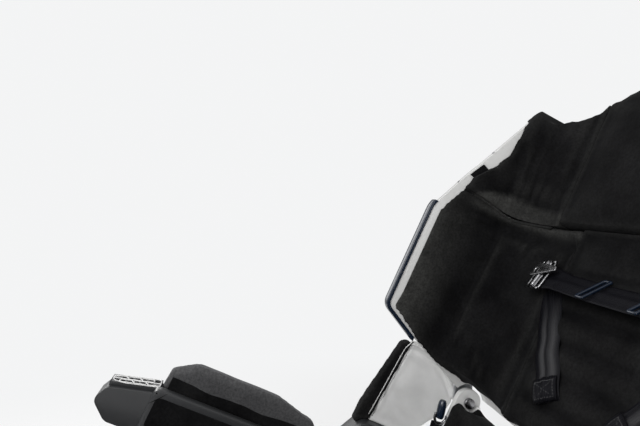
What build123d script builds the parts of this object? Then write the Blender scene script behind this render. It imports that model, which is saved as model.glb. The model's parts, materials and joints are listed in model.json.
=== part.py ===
from build123d import *
import os
from math import cos, radians, sin, sqrt, tan

# Crew seat of a small spacecraft, as it stands on its floor rails. Millimetres, +Z up.
# The seat faces -Y and the occupant's left side is +X. The origin is the centre of the
# four floor bolts, on the underside of the rails.
#
# The couch is drawn upright in a frame of its own and then leaned back as a whole. In that
# couch frame "up" runs along the backrest, "forward" stands square off it, and the origin
# is the foot of the backrest cushion's face. Outlines below are (forward, up) unless said.

# Whole couch
recline_deg = 25.5
couch_foot = (0, 240, 665)
far = 900                 # past every surface, for cuts that run right through
seat_gap = 0.3            # a soft piece beside what carries it
running_gap = 0.05        # a pin in the bore it turns in
cushion_seam = 1.0        # between two sewn cushions
bore_slack = 10           # a cutter past the face it cuts

# Back shell: a bucket with flat back, round corners and deep wings
wing_outer_x = 306
shell_wall = 12
back_face = 72            # outside of the shell, behind the cushion's face
corner_radius = 42
rim_show = 12             # bare white shell between cushion and rim
shell_foot_up = -8
wing_foot = (113, 45)
wing_lower_tip = (189, 84)
wing_upper_tip = (189.5, 282)
notch_low = (154, 361)
notch_high = (138, 391)
head_tip = (93, 485)
lobe_top = (70, 531)
crown_front = (30, 700)
lobe_inner_x = 276
lobe_notch_drop = 24      # V between lobe and arched head, under the lobe's top
lobe_shoulder = 12        # x over which the V climbs to the lobe
lobe_bevel = (14, 22)     # outer corner of the lobe, as (x, up)
head_top_up = 600
recess_depth = 3          # moulded panels of the shells
recess_margin = 34
rear_panel_x, rear_panel_up, rear_panel_corner = (132, 246), (70, 440), 24
rim_radii = [0, 20, 60, 16, 40, 120, 60, 80, 0, 0, 0]

# Back cushions
seam_x = 146
bolster_radius = 96
bolster_face_x = 286
cushion_foot_up = 4
ledge_up = 332
head_proud = 12
head_face_x = 277
head_radius = 77
head_roll = 9             # head cushion over the shell's top edge
head_foot = (142, 362)    # front edge of the head cushion below the notch
head_waist = (124, 384)   # and beside the bare block over the notch
head_shoulder = (98, 428)
tab_thick = 4             # tongue of cushion over the rim at the notch
tab_root = 32             # how far it reaches back into the cushion
tab_white = 3             # white line left outside the tongue

# Glossy lip on the lower wing's front edge
lip_thick = 7
lip_wrap, lip_proud = 14, 2
lip_up = (0, 292)
lip_heel_forward = 118

# Harness slots through bolster and shell, at shoulder height
harness_slot_x = 202
harness_slot_up = 246
harness_slot_size = (8, 56)

# Backrest hinge at the bolts
fold_forward = -29
fold_up = -21
fold_pin_r, fold_head_r = 8, 9.5
fold_arm_r = 18
fold_arm_tip = (12, 74)
fold_arm_thick = 7
hinge_tip_r = 14
fold_relief_r = 32
cushion_relief = 3        # cushions clear of that relief
pan_ear_r = 24
pin_show = 1              # end of a pin past the piece it holds
pin_head_thick = 6

# Rear frame of the back
upright_foot, upright_head = 30, 470
upright_x = (96, 120)
upright_deep = 34
upright_belly_up = 200
upright_foot_rise, upright_head_fall = 30, 60
upright_radii = [0, 20, 60, 20, 0]
upright_neck = 23         # depth where the upright starts to thin toward its head
upright_holes = (110, 155, 330, 375)
upright_hole_r, upright_hole_deep = 7, 14
reel_deep, reel_up, reel_corner = 62, (205, 275), 12

# Lower shell: tub under hips and thighs
pan_outer_x = 298
pan_under_up = -430
pan_front = 500
pan_corner, pan_back_corner = 50, 34
pan_heel_radius, pan_toe_radius, pan_rim_radius = 90, 24, 60
pan_rear_top_up = -46
pan_rear_open_x = 250
pan_shoulder_up = -83
pan_shoulder_forward = -53
pan_slope_foot = (60, -170)
pan_side_forward = 170
pan_side_end = 455
pan_wall_up = -205
pan_panel_forward, pan_panel_taper = (60, 430), 30
pan_panel_up = (-384, -302)
pan_panel_corner = 20
pan_cushion_up = -370
thigh_top_up = -262
thigh_seam_x = 190
thigh_face_x = 262
thigh_radius = 62
pelvis_top_up = -22
pelvis_face, pelvis_edge_r = 0, 14
bolt_relief_r = 14.5      # cushion clear of the bolt heads

# Armrests
arm_inner_x = pan_outer_x + seat_gap
arm_outer_x = 345
arm_floor_up = -222
arm_under_up = -290
arm_rear = 32
arm_heel, arm_knuckle, arm_sink = 136, 176, 184
arm_radii = [30, 0, 20, 40, 60, 10, 14, 20]
arm_lip_thick = 5
arm_outer_lip = 1.5
ridge_inner_x = 322
ridge_top_up = -150
ridge_rear = 190
ridge_heel = (206, -172)
ridge_crest = (294, 449)  # the level part of its top
ridge_nose_up = -179
ridge_radii = [8, 30, 60, 40, 6, 3]
nose_start, nose_end = 455, 574
nose_tip = (588, -262)
nose_heel = 556
grille_slope_deg = 14
grille_start = 492
grille_length = 84
grille_width = 36
grille_thick = 6
slot_length, slot_width = 19, 9
slot_pitch, row_pitch = 23, 14
slot_first = 13
slots_in_row = 3

# Hip panels
hip_inner_x = 319
hip_thick = 15
hip_foot_up = -130
hip_top = (105, 36)
hip_foot = (121, 38)
hip_rear = ((-17, -60), (-17, -21))
edge_pad_inner, edge_pad_outer = 3, 4     # padded edge past the panel's two faces
edge_pad_top = ((106, 36), (124, 30))
edge_pad_foot = ((150, -110), (150, -141), (138, -141))
edge_pad_heel = 121.6

# Harness
strap_width, strap_thick = 48, 2.4
shoulder_top, shoulder_end = (162, 236), (74, 66)
chest_half_x, chest_up = 168, 214
tongue_x, tongue_up, tongue_thick, tongue_corner = (150, 196), (208, 266), 5, 10
lap_start, lap_end = (176, 66), (44, 190)
crotch_run, crotch_width = (244, 400), 40
buckle_forward, buckle_r, buckle_height, buckle_edge_r = 205, 38, 20, 5

# Leg rest and foot plate
knee_forward = 530
knee_up = -405
knee_pin_r, knee_head_r, knee_head_thick = 10, 14, 5
knee_ear_r = 25
knee_ear_root, knee_ear_top = 430, (-300, -320)
knee_cheek_r = 22
leg_outer_x = 283
leg_corner = 40
leg_end_up = -740
leg_back = 508
leg_behind, leg_toe = 503, 596            # side outline of the leg shell
leg_top_up, leg_under_up = -440, -745
leg_neck = (514, -419)
leg_front = ((548, -405), (573, -465), (589, -560))
leg_side_radii = [0, 0, 0, 8, 0, 30, 80, 0, 0]
leg_panel_x, leg_panel_up, leg_panel_corner = (60, 231), (-690, -485), 20
calf_thick = 42
calf_depth = 67
calf_face_x = 225
calf_radius = 46
calf_end_gap = 20
calf_knee_gap = 48
ankle_forward = 584
ankle_up = -762
ankle_pin_r = 8
ankle_cheek_r = 18
ankle_web_back, ankle_web_up = 534, (-755, -739)
foot_length = 250
foot_thick = 10
foot_drop = 10            # plate top under the ankle pins
foot_heel = 14            # plate behind the ankle pins
foot_side_gap = 2
foot_corner = 40
lug_corner, lug_sunk = 13, 2
heel_outer_r, heel_wall, heel_height = 56, 6, 46
heel_centre_x = 105
heel_ahead = 62           # centre of the heel cups before the ankle pins

# Tilt shaft and base
tilt_forward = 200
tilt_up = -490
tilt_shaft_r = 18
shaft_end = 8             # shaft past the stanchions
cradle_x, cradle_thick = 150, 18
cradle_foot = (-160, 180)
cradle_head = (34, 20)
cradle_cross, cradle_cross_at = (16, 24), 110
rail_length = 860
rail_half_x = 205
rail_width = 60
rail_height = 45
rail_flange = 12
rail_rib = 26
rail_rib_inset = 20
bolt_hole_r = 4.5
bolt_offset_x = 21        # bolt holes outside the rib
bolt_end = 40             # bolt holes before the rails' ends
cross_end = 100           # cross beams before the rails' ends
cross_size = (44, 30)
beam_edge_r = 5
rail_corner = 8
stanchion_thick = 20
stanchion_frame = 34
stanchion_foot, stanchion_head = (-190, 200), (42, 8)
stanchion_radii = [6, 40, 40, 6]
window_foot, window_head, window_drop, window_corner = (-112, 118), 21, 74, 14


def to_floor(piece):
    """Lean a piece of the couch back and set it at its place over the floor."""
    return piece.moved(Location(couch_foot, (-recline_deg, 0, 0)))


def side_slab(points, radii, x_low, x_high):
    """Solid between two x values from an outline of (forward, up) points with round corners."""
    corners = [(-forward, up) for forward, up in points]
    face = make_face(Plane.YZ * FilletPolyline(*corners, radius=radii, close=True))
    return extrude(face.moved(Location((x_low, 0, 0))), x_high - x_low, dir=(1, 0, 0))


def front_slab(points, radii, forward_low, forward_high):
    """Solid between two forward values from an outline of (x, up) points with round corners."""
    face = make_face(Plane.XZ * FilletPolyline(*points, radius=radii, close=True))
    face = face.moved(Location((0, -forward_low, 0)))
    return extrude(face, forward_high - forward_low, dir=(0, -1, 0))


def trough(half_x, floor_up, radius, forward_low, forward_high):
    """Solid over a floor with two round corners, open above, along the seat."""
    points = [(-half_x, far), (-half_x, floor_up), (half_x, floor_up), (half_x, far)]
    return front_slab(points, [0, radius, radius, 0], forward_low, forward_high)


def bucket(half_x, back, radius, up=(-far, far), forward_end=far):
    """Solid with a flat back, two round corners and straight sides, open forward."""
    path = FilletPolyline(
        (-half_x, -forward_end), (-half_x, back), (half_x, back), (half_x, -forward_end), radius=radius
    )
    face = make_face(path.edges() + [Edge.make_line(path @ 1, path @ 0)])
    return extrude(face.moved(Location((0, 0, up[0]))), up[1] - up[0], dir=(0, 0, 1))


def box_between(x=(-far, far), forward=(-far, far), up=(-far, far)):
    """Box from three (low, high) pairs of the couch frame, each right through unless given."""
    size = (x[1] - x[0], forward[1] - forward[0], up[1] - up[0])
    centre = ((x[0] + x[1]) / 2, -(forward[0] + forward[1]) / 2, (up[0] + up[1]) / 2)
    return Pos(*centre) * Box(*size)


def cross_pin(radius, x_low, x_high, forward, up):
    """Round pin along x in the couch frame."""
    pin = Cylinder(radius, x_high - x_low, rotation=(0, 90, 0))
    return Pos((x_low + x_high) / 2, -forward, up) * pin


def mirrored(piece):
    """The same piece on the other side of the seat."""
    return mirror(piece, about=Plane.YZ)


def both_sides(piece):
    """A left piece and its mirror image, as tools for one cut or one trim."""
    return piece + mirrored(piece)


nodes = {}


def add_pair(name, left_piece):
    """Keep a piece of the occupant's left side and its mirror image."""
    nodes[name + "_left"] = left_piece
    nodes[name + "_right"] = mirrored(left_piece)


# Side outline of the back shell, which the cushions and recesses draw in
rim_points = [
    (-far, shell_foot_up), (-fold_pin_r, shell_foot_up), wing_foot, wing_lower_tip, wing_upper_tip,
    notch_low, notch_high, head_tip, lobe_top, crown_front, (-far, crown_front[1]),
]
rim_face = make_face(Plane.YZ * FilletPolyline(
    *[(-forward, up) for forward, up in rim_points], radius=rim_radii, close=True
))


def rim_slab(inset=0, x_low=-far, x_high=far):
    """Everything inside the rim's side outline, drawn in by an inset."""
    face = rim_face if inset == 0 else offset(rim_face, amount=-inset)
    return extrude(face.moved(Location((x_low, 0, 0))), x_high - x_low, dir=(1, 0, 0))


def front_outline(inset=0):
    """Everything under the arched head and its two lobes, drawn in by an inset."""
    side = wing_outer_x + 1 - inset
    lobe = lobe_top[1] - inset
    notch = (lobe_inner_x, lobe - lobe_notch_drop)
    arch = ThreePointArc((-notch[0], notch[1]), (0, head_top_up - inset), notch)
    right = [
        notch, (lobe_inner_x + lobe_shoulder, lobe), (side - lobe_bevel[0], lobe),
        (side, lobe - lobe_bevel[1]), (side, -far),
    ]
    rest = right + [(-x, up) for x, up in reversed(right)]
    face = make_face(Plane.XZ * (arch + Polyline(*rest)))
    return extrude(face.moved(Location((0, -far, 0))), 2 * far, dir=(0, 1, 0))


# Back shell: bucket, relieved round the hinge, with moulded panels and harness slots
shell_inner_x = wing_outer_x - shell_wall
shell_inner_back = back_face - shell_wall
outside = bucket(wing_outer_x, back_face, corner_radius)
inside = bucket(shell_inner_x, shell_inner_back, corner_radius - shell_wall)
hinge_relief = both_sides(cross_pin(
    fold_relief_r, pan_rear_open_x, wing_outer_x + bore_slack, fold_forward, fold_up
))
back_shell = (outside - inside) & rim_slab() & front_outline()
back_shell -= hinge_relief
side_panel = rim_slab(recess_margin, wing_outer_x - recess_depth, wing_outer_x + bore_slack)
side_panel &= box_between(
    forward=(corner_radius - back_face, far), up=(fold_arm_tip[1] + recess_margin, notch_low[1])
)
back_shell -= both_sides(side_panel)
rear_panel = front_slab(
    [(rear_panel_x[0], rear_panel_up[0]), (rear_panel_x[1], rear_panel_up[0]),
     (rear_panel_x[1], rear_panel_up[1]), (rear_panel_x[0], rear_panel_up[1])],
    rear_panel_corner, -back_face - bore_slack, recess_depth - back_face
)
back_shell -= both_sides(rear_panel)
slot_half_x, slot_half_up = harness_slot_size[0] / 2, harness_slot_size[1] / 2
harness_slot = box_between(
    x=(harness_slot_x - slot_half_x, harness_slot_x + slot_half_x), forward=(-far, bolster_radius),
    up=(harness_slot_up - slot_half_up, harness_slot_up + slot_half_up)
)
back_shell -= both_sides(harness_slot)
nodes["back_shell"] = back_shell

# Body cushions, cut from the space in front of the shell and seamed beside the spine
cushion_block = bucket(
    shell_inner_x - seat_gap, shell_inner_back - seat_gap, corner_radius - shell_wall - seat_gap
)
body_hollow = bucket(bolster_face_x, 0, bolster_radius)
body_cushion = (cushion_block - body_hollow) & rim_slab(rim_show)
body_cushion &= box_between(up=(cushion_foot_up, ledge_up))
nodes["back_pad"] = body_cushion & box_between(x=(-seam_x, seam_x))
bolster = body_cushion & box_between(x=(seam_x + cushion_seam, far))
bolster -= cross_pin(fold_relief_r + cushion_relief, pan_rear_open_x, far, fold_forward, fold_up)
add_pair("bolster", bolster - harness_slot)

# Head cushions: rolled over the shell's top edge, their front edge meeting the rim at the tip
head_side = Plane.YZ * Polyline(*[(-forward, up) for forward, up in (
    (-far, 0), (wing_upper_tip[0] - rim_show, 0), (wing_upper_tip[0] - rim_show, wing_upper_tip[1]),
    head_foot, head_waist, head_shoulder, head_tip, (lobe_top[0] + head_roll, lobe_top[1]),
    (crown_front[0] + head_roll, crown_front[1]), (-far, crown_front[1]),
)], close=True)
head_zone = extrude(make_face(head_side).moved(Location((-far, 0, 0))), 2 * far, dir=(1, 0, 0))
shell_space = (box_between() - cushion_block) & rim_slab(-seat_gap) & front_outline(-seat_gap)
head_hollow = bucket(head_face_x, -head_proud, head_radius)
head_cushion = (outside - head_hollow) & head_zone & front_outline(-head_roll)
head_cushion = (head_cushion & box_between(up=(ledge_up + cushion_seam, far))) - shell_space
head_seam_x = head_face_x - head_radius
nodes["head_pad"] = head_cushion & box_between(x=(-head_seam_x, head_seam_x))
wing_pad = head_cushion & box_between(x=(head_seam_x + cushion_seam, far))
tab_up = (notch_low[1] + seat_gap, notch_high[1])
tab = (rim_slab(-tab_thick) - rim_slab(-seat_gap)) & box_between(
    x=(head_face_x, wing_outer_x - tab_white), forward=(0, far), up=tab_up
)
tab += (rim_slab(-tab_thick) - rim_slab(tab_root)) & box_between(
    x=(head_face_x, shell_inner_x - seat_gap), forward=(0, far), up=tab_up
)
add_pair("head_wing_pad", wing_pad + tab)

# Glossy lip that caps the lower wing's front edge
lip = rim_slab(-lip_thick, wing_outer_x - lip_wrap, wing_outer_x + lip_proud) - rim_slab()
lip &= box_between(forward=(lip_heel_forward, far), up=lip_up)
add_pair("rim_lip", lip)

# Hinge arms of the back, outside the wings
hinge_arm_x = wing_outer_x + seat_gap
arm_face = Plane.YZ * make_hull([
    *CenterArc((-fold_forward, fold_up), fold_arm_r, 0, 360).edges(),
    *CenterArc((-fold_arm_tip[0], fold_arm_tip[1]), hinge_tip_r, 0, 360).edges(),
])
hinge_arm = extrude(Pos(hinge_arm_x, 0, 0) * arm_face, fold_arm_thick, dir=(1, 0, 0))
hinge_arm += cross_pin(hinge_tip_r, pan_outer_x + seat_gap, hinge_arm_x, fold_forward, fold_up)
hinge_arm -= cross_pin(fold_pin_r + running_gap, pan_rear_open_x, far, fold_forward, fold_up)
add_pair("hinge_arm", hinge_arm)

# Rear frame of the back: two uprights with lightening holes, and the harness reel between
upright = side_slab(
    [(-back_face, upright_foot), (-back_face - upright_deep / 2, upright_foot + upright_foot_rise),
     (-back_face - upright_deep, upright_belly_up),
     (-back_face - upright_neck, upright_head - upright_head_fall),
     (-back_face, upright_head)],
    upright_radii, *upright_x
)
for hole_up in upright_holes:
    upright -= cross_pin(upright_hole_r, *upright_x, -back_face - upright_hole_deep, hole_up)
add_pair("back_upright", upright)
reel_half_x = upright_x[0] - seat_gap
reel = box_between(x=(-reel_half_x, reel_half_x), forward=(-back_face - reel_deep, -back_face), up=reel_up)
nodes["harness_reel"] = fillet(reel.edges().filter_by(Axis.X), reel_corner)

# Lower shell: the tub, open above, with ears for the backrest bolts and the knee pins
pan_inner_x = pan_outer_x - shell_wall
inner_floor = pan_under_up + shell_wall
pan_outside = trough(pan_outer_x, pan_under_up, pan_corner, -far, pan_front)
pan_outside &= side_slab(
    [(-back_face, far), (-back_face, pan_under_up), (pan_front, pan_under_up), (pan_front, far)],
    [0, pan_heel_radius, pan_toe_radius, 0], -far, far
)
pan_outside &= bucket(pan_outer_x, back_face, pan_back_corner)
pan_inside = trough(pan_inner_x, inner_floor, pan_corner - shell_wall, -far, far)
pan_inside &= side_slab(
    [(-shell_inner_back, far), (-shell_inner_back, inner_floor), (far, inner_floor), (far, far)],
    [0, pan_heel_radius - shell_wall, 0, 0], -far, far
)
pan_inside &= bucket(pan_inner_x, shell_inner_back, pan_back_corner - shell_wall)
pan_rim = side_slab(
    [(-far, -far), (-far, pan_shoulder_up), (pan_shoulder_forward, pan_shoulder_up),
     (pan_shoulder_forward, fold_up), (fold_forward + pan_ear_r, fold_up),
     (fold_forward + pan_ear_r, pan_shoulder_up),
     pan_slope_foot, (pan_side_forward, pan_wall_up), (pan_side_end, pan_wall_up), (far, pan_wall_up),
     (far, -far)],
    [0] * 5 + [pan_rim_radius] * 3 + [0] * 3, -far, far
)
pan_shell = (pan_outside - pan_inside) & pan_rim
pan_shell -= box_between(x=(-pan_rear_open_x, pan_rear_open_x), forward=(-far, 0), up=(pan_rear_top_up, far))
pan_panel = side_slab(
    [(pan_panel_forward[0], pan_panel_up[1]), (pan_panel_forward[0] + pan_panel_taper, pan_panel_up[0]),
     (pan_panel_forward[1] - pan_panel_taper, pan_panel_up[0]), (pan_panel_forward[1], pan_panel_up[1])],
    pan_panel_corner, pan_outer_x - recess_depth, pan_outer_x + bore_slack
)
pan_shell -= both_sides(pan_panel)
knee_ear = side_slab(
    [(knee_ear_root, knee_ear_top[0]), (pan_front, knee_ear_top[1]), (knee_forward + knee_ear_r, knee_up),
     (knee_forward, knee_up - knee_ear_r), (knee_ear_root, pan_under_up)],
    0, pan_inner_x, pan_outer_x
)
ears = knee_ear + cross_pin(pan_ear_r, pan_inner_x, pan_outer_x, fold_forward, fold_up)
ears += cross_pin(knee_ear_r, pan_inner_x, pan_outer_x, knee_forward, knee_up)
pan_shell += both_sides(ears)
for radius, forward, up in ((fold_pin_r, fold_forward, fold_up), (knee_pin_r, knee_forward, knee_up)):
    pan_shell -= both_sides(
        cross_pin(radius, pan_inner_x - bore_slack, pan_outer_x + bore_slack, forward, up)
    )
nodes["pan_shell"] = pan_shell

# Pins at backrest and knee, with a head inside the pan and one outside
fold_pin = cross_pin(
    fold_pin_r, pan_inner_x - pin_show, hinge_arm_x + fold_arm_thick + pin_show, fold_forward, fold_up
)
fold_pin += cross_pin(
    fold_head_r, pan_inner_x - pin_show - pin_head_thick, pan_inner_x, fold_forward, fold_up
)
add_pair("fold_bolt", fold_pin)
knee_cheek_x = leg_outer_x - shell_wall
knee_pin = cross_pin(knee_pin_r, knee_cheek_x - pin_show, pan_outer_x + pin_show, knee_forward, knee_up)
knee_pin += cross_pin(knee_head_r, pan_outer_x, pan_outer_x + knee_head_thick, knee_forward, knee_up)
add_pair("knee_pin", knee_pin)

# Cushions of the lower shell
tub_x = pan_inner_x - seat_gap
tub = pan_inside & trough(
    tub_x, inner_floor + seat_gap, pan_corner - shell_wall, seat_gap - shell_inner_back, pan_front
)
thigh_hollow = trough(thigh_face_x, pan_cushion_up, thigh_radius, -far, far)
seat_zone = (tub - thigh_hollow) & box_between(
    forward=(pelvis_face + cushion_seam, pan_front), up=(-far, thigh_top_up)
)
nodes["seat_pad"] = seat_zone & box_between(x=(-thigh_seam_x, thigh_seam_x))
add_pair("thigh_bolster", seat_zone & box_between(x=(thigh_seam_x + cushion_seam, far)))
pelvis_block = tub & side_slab(
    [(-far, pelvis_top_up), (-far, -far), (pelvis_face, -far), (pelvis_face, pelvis_top_up)],
    [0, 0, 0, pelvis_edge_r], -far, far
)
pelvis_block -= both_sides(cross_pin(bolt_relief_r, pan_rear_open_x, far, fold_forward, fold_up))
nodes["pelvis_pad"] = pelvis_block

# Armrests: a moulded beam with an inner lip, a sunk trough and a fallen nose
nose_fall = tan(radians(grille_slope_deg))
arm_points = [
    (arm_rear, arm_under_up), (arm_rear, hip_foot_up), (arm_heel, hip_foot_up), (arm_knuckle, pan_wall_up),
    (nose_start, pan_wall_up), (nose_end, pan_wall_up - (nose_end - nose_start) * nose_fall), nose_tip,
    (nose_heel, arm_under_up),
]
arm_body = side_slab(arm_points, arm_radii, arm_inner_x, arm_outer_x)
arm_body -= side_slab(
    [(arm_sink, arm_floor_up), (arm_sink, far), (grille_start, far), (grille_start, arm_floor_up)],
    [8, 0, 0, 4], arm_inner_x + arm_lip_thick, arm_outer_x - arm_outer_lip
)
add_pair("armrest", arm_body)
ridge_nose = grille_start - cushion_seam
ridge_foot_up = arm_floor_up + seat_gap
ridge = side_slab(
    [(ridge_rear, ridge_foot_up), ridge_heel, (ridge_crest[0], ridge_top_up), (ridge_crest[1], ridge_top_up),
     (ridge_nose, ridge_nose_up), (ridge_nose, ridge_foot_up)],
    ridge_radii, ridge_inner_x, arm_outer_x - arm_outer_lip - seat_gap
)
add_pair("arm_ridge", ridge)

# Grille on the armrest's nose: two staggered rows of round-ended slots
grille_turn = radians(grille_slope_deg)
grille_plane = Plane(
    origin=(0, -grille_start, pan_wall_up - (grille_start - nose_start) * nose_fall + seat_gap),
    x_dir=(0, -cos(grille_turn), -sin(grille_turn)), z_dir=(0, -sin(grille_turn), cos(grille_turn))
)
grille_mid_x = (arm_inner_x + arm_lip_thick + arm_outer_x) / 2
grille = Pos(grille_length / 2, -grille_mid_x, grille_thick / 2) * Box(
    grille_length, grille_width, grille_thick
)
for row, shift in ((-0.5, 0), (0.5, slot_pitch / 2)):
    for column in range(slots_in_row):
        slot = extrude(SlotOverall(slot_length, slot_width), grille_thick * 2, both=True)
        grille -= Pos(slot_first + shift + column * slot_pitch, -grille_mid_x + row * row_pitch, 0) * slot
grille = Location(grille_plane) * grille
add_pair("arm_grille", grille if grille.center().X > 0 else mirrored(grille))

# Hip panels and the padded edge before each
hip_outer_x = hip_inner_x + hip_thick
panel_foot_up = hip_foot_up + seat_gap
hip_panel = side_slab(
    [hip_top, (hip_foot[0], panel_foot_up), (hip_foot[1], panel_foot_up), *hip_rear],
    [10, 0, 0, 30, 14], hip_inner_x, hip_outer_x
)
add_pair("hip_panel", hip_panel)
hip_edge = side_slab(
    [*edge_pad_top, *edge_pad_foot, (edge_pad_heel, panel_foot_up)],
    [2, 8, 12, 2, 0, 0], hip_inner_x - edge_pad_inner, hip_outer_x + edge_pad_outer
)
add_pair("hip_edge_pad", hip_edge - arm_body)

# Leg rest: a shallow channel with cheeks for the knee and ankle pins, and its cushion
leg_channel = bucket(leg_outer_x, -leg_back, leg_corner, (leg_end_up, far))
leg_channel -= bucket(leg_outer_x - shell_wall, -leg_back - shell_wall, leg_corner - shell_wall)
leg_side = side_slab(
    [(leg_behind, leg_under_up), (leg_behind, leg_top_up), leg_neck, (knee_forward, knee_up + knee_cheek_r),
     *leg_front, (leg_toe, leg_end_up), (leg_toe, leg_under_up)],
    leg_side_radii, -far, far
)
leg_shell = leg_channel & leg_side
leg_panel = front_slab(
    [(leg_panel_x[0], leg_panel_up[0]), (leg_panel_x[1], leg_panel_up[0]),
     (leg_panel_x[1], leg_panel_up[1]), (leg_panel_x[0], leg_panel_up[1])],
    leg_panel_corner, leg_back - bore_slack, leg_back + recess_depth
)
leg_shell -= both_sides(leg_panel)
cheek = cross_pin(knee_cheek_r, knee_cheek_x, leg_outer_x, knee_forward, knee_up)
cheek += cross_pin(ankle_cheek_r, knee_cheek_x, leg_outer_x, ankle_forward, ankle_up)
cheek += box_between(x=(knee_cheek_x, leg_outer_x), forward=(ankle_web_back, leg_toe), up=ankle_web_up)
cheek_low, cheek_high = knee_cheek_x - bore_slack, leg_outer_x + bore_slack
bores = cross_pin(knee_pin_r + running_gap, cheek_low, cheek_high, knee_forward, knee_up)
bores += cross_pin(ankle_pin_r + running_gap, cheek_low, cheek_high, ankle_forward, ankle_up)
nodes["leg_shell"] = leg_shell + both_sides(cheek) - both_sides(bores)
calf_up = (leg_end_up + calf_end_gap, knee_up - calf_knee_gap)
calf = bucket(
    leg_outer_x - shell_wall - seat_gap, -leg_back - shell_wall - seat_gap,
    leg_corner - shell_wall - seat_gap,
    calf_up, leg_back + calf_depth
)
nodes["calf_pad"] = calf - bucket(calf_face_x, -leg_back - calf_thick, calf_radius)

# Foot plate: a tread with lugs on its pins, and heel cups on it
foot_out_x = knee_cheek_x - foot_side_gap
plate_top = ankle_up - foot_drop
foot_rear = ankle_forward - foot_heel
foot = box_between(
    x=(-foot_out_x, foot_out_x), forward=(foot_rear, ankle_forward + foot_length),
    up=(plate_top - foot_thick, plate_top)
)
foot = fillet(foot.edges().filter_by(Axis.Z).sort_by(Axis.Y)[:2], foot_corner)
lug_foot_up, lug_head_up = plate_top - lug_sunk, ankle_up + foot_heel
lug = side_slab(
    [(foot_rear, lug_foot_up), (foot_rear, lug_head_up), (ankle_forward + foot_heel, lug_head_up),
     (ankle_forward + foot_corner, lug_foot_up)],
    [0, lug_corner, lug_corner, 0], foot_out_x - shell_wall, foot_out_x
)
lug += cross_pin(ankle_pin_r, foot_out_x - shell_wall, leg_outer_x + pin_show, ankle_forward, ankle_up)
nodes["foot_plate"] = foot + both_sides(lug)
heel_forward = ankle_forward + heel_ahead
cup = Pos(heel_centre_x, -heel_forward, plate_top) * (
    extrude(Circle(heel_outer_r), heel_height) - extrude(Circle(heel_outer_r - heel_wall), heel_height)
)
add_pair("heel_cup", cup & box_between(forward=(0, heel_forward + bore_slack)))

# Harness straps that lie on the cushions


def strap_on_face(start, end, lift):
    """Flat strap between two (x, up) points, standing off the cushion's face."""
    span = Vector(end[0] - start[0], 0, end[1] - start[1])
    middle = (start[0] + end[0]) / 2, (start[1] + end[1]) / 2
    lean = Vector(1, 0, 0).get_signed_angle(span, Vector(0, -1, 0))
    strap = Box(span.length, strap_thick, strap_width)
    return Pos(middle[0], -lift - strap_thick / 2, middle[1]) * Rot(0, -lean, 0) * strap


add_pair("shoulder_strap", strap_on_face(shoulder_top, shoulder_end, seat_gap))
chest_lift = seat_gap * 2 + strap_thick
nodes["chest_strap"] = box_between(
    x=(-chest_half_x, chest_half_x), forward=(chest_lift, chest_lift + strap_thick),
    up=(chest_up, chest_up + strap_width)
)
strap_tongue = box_between(
    x=tongue_x, forward=(chest_lift + strap_thick + seat_gap, chest_lift + strap_thick + tongue_thick),
    up=tongue_up
)
add_pair("strap_tongue", fillet(strap_tongue.edges().filter_by(Axis.Y), tongue_corner))

# Lap belts, crotch strap and rotary buckle on the seat cushion
belt_up = pan_cushion_up + seat_gap


def strap_on_seat(start, end, width):
    """Flat strap between two (x, forward) points on the seat cushion."""
    run_x, run_forward = end[0] - start[0], end[1] - start[1]
    length = sqrt(run_x ** 2 + run_forward ** 2)
    turn = Vector(1, 0, 0).get_signed_angle(Vector(run_x, -run_forward, 0), Vector(0, 0, 1))
    middle = Pos((start[0] + end[0]) / 2, -(start[1] + end[1]) / 2, belt_up + strap_thick / 2)
    return middle * Rot(0, 0, turn) * Box(length, width, strap_thick)


add_pair("lap_belt", strap_on_seat(lap_start, lap_end, strap_width))
nodes["crotch_strap"] = strap_on_seat((0, crotch_run[0]), (0, crotch_run[1]), crotch_width)
buckle = Pos(0, -buckle_forward, belt_up) * extrude(Circle(buckle_r), buckle_height)
nodes["harness_buckle"] = fillet(buckle.edges().group_by(Axis.Z)[-1], buckle_edge_r)

# Cradle under the pan with the tilt shaft through it
cradle_lug = side_slab(
    [(tilt_forward + cradle_foot[0], pan_under_up), (tilt_forward - cradle_head[0], tilt_up - cradle_head[1]),
     (tilt_forward + cradle_head[0], tilt_up - cradle_head[1]),
     (tilt_forward + cradle_foot[1], pan_under_up)],
    [0, cradle_head[0], cradle_head[0], 0], cradle_x - cradle_thick / 2, cradle_x + cradle_thick / 2
)
cradle = both_sides(cradle_lug - cross_pin(tilt_shaft_r + running_gap, 0, far, tilt_forward, tilt_up))
for cross_forward in (tilt_forward - cradle_cross_at, tilt_forward + cradle_cross_at):
    cradle += box_between(
        x=(cradle_thick / 4 - cradle_x, cradle_x - cradle_thick / 4),
        forward=(cross_forward - cradle_cross[0] / 2, cross_forward + cradle_cross[0] / 2),
        up=(pan_under_up - cradle_cross[1], pan_under_up)
    )
nodes["cradle"] = cradle
shaft_half_x = rail_half_x + stanchion_thick / 2 + shaft_end
nodes["tilt_shaft"] = cross_pin(tilt_shaft_r, -shaft_half_x, shaft_half_x, tilt_forward, tilt_up)

for name in nodes:
    nodes[name] = to_floor(nodes[name])

# Base, drawn straight over the floor
recline = radians(recline_deg)
tilt_y = couch_foot[1] + tilt_up * sin(recline) - tilt_forward * cos(recline)
tilt_z = couch_foot[2] + tilt_up * cos(recline) + tilt_forward * sin(recline)


def floor_box(x, y, z):
    """Box from three (low, high) pairs over the floor."""
    size = (x[1] - x[0], y[1] - y[0], z[1] - z[0])
    return Pos((x[0] + x[1]) / 2, (y[0] + y[1]) / 2, (z[0] + z[1]) / 2) * Box(*size)


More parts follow.
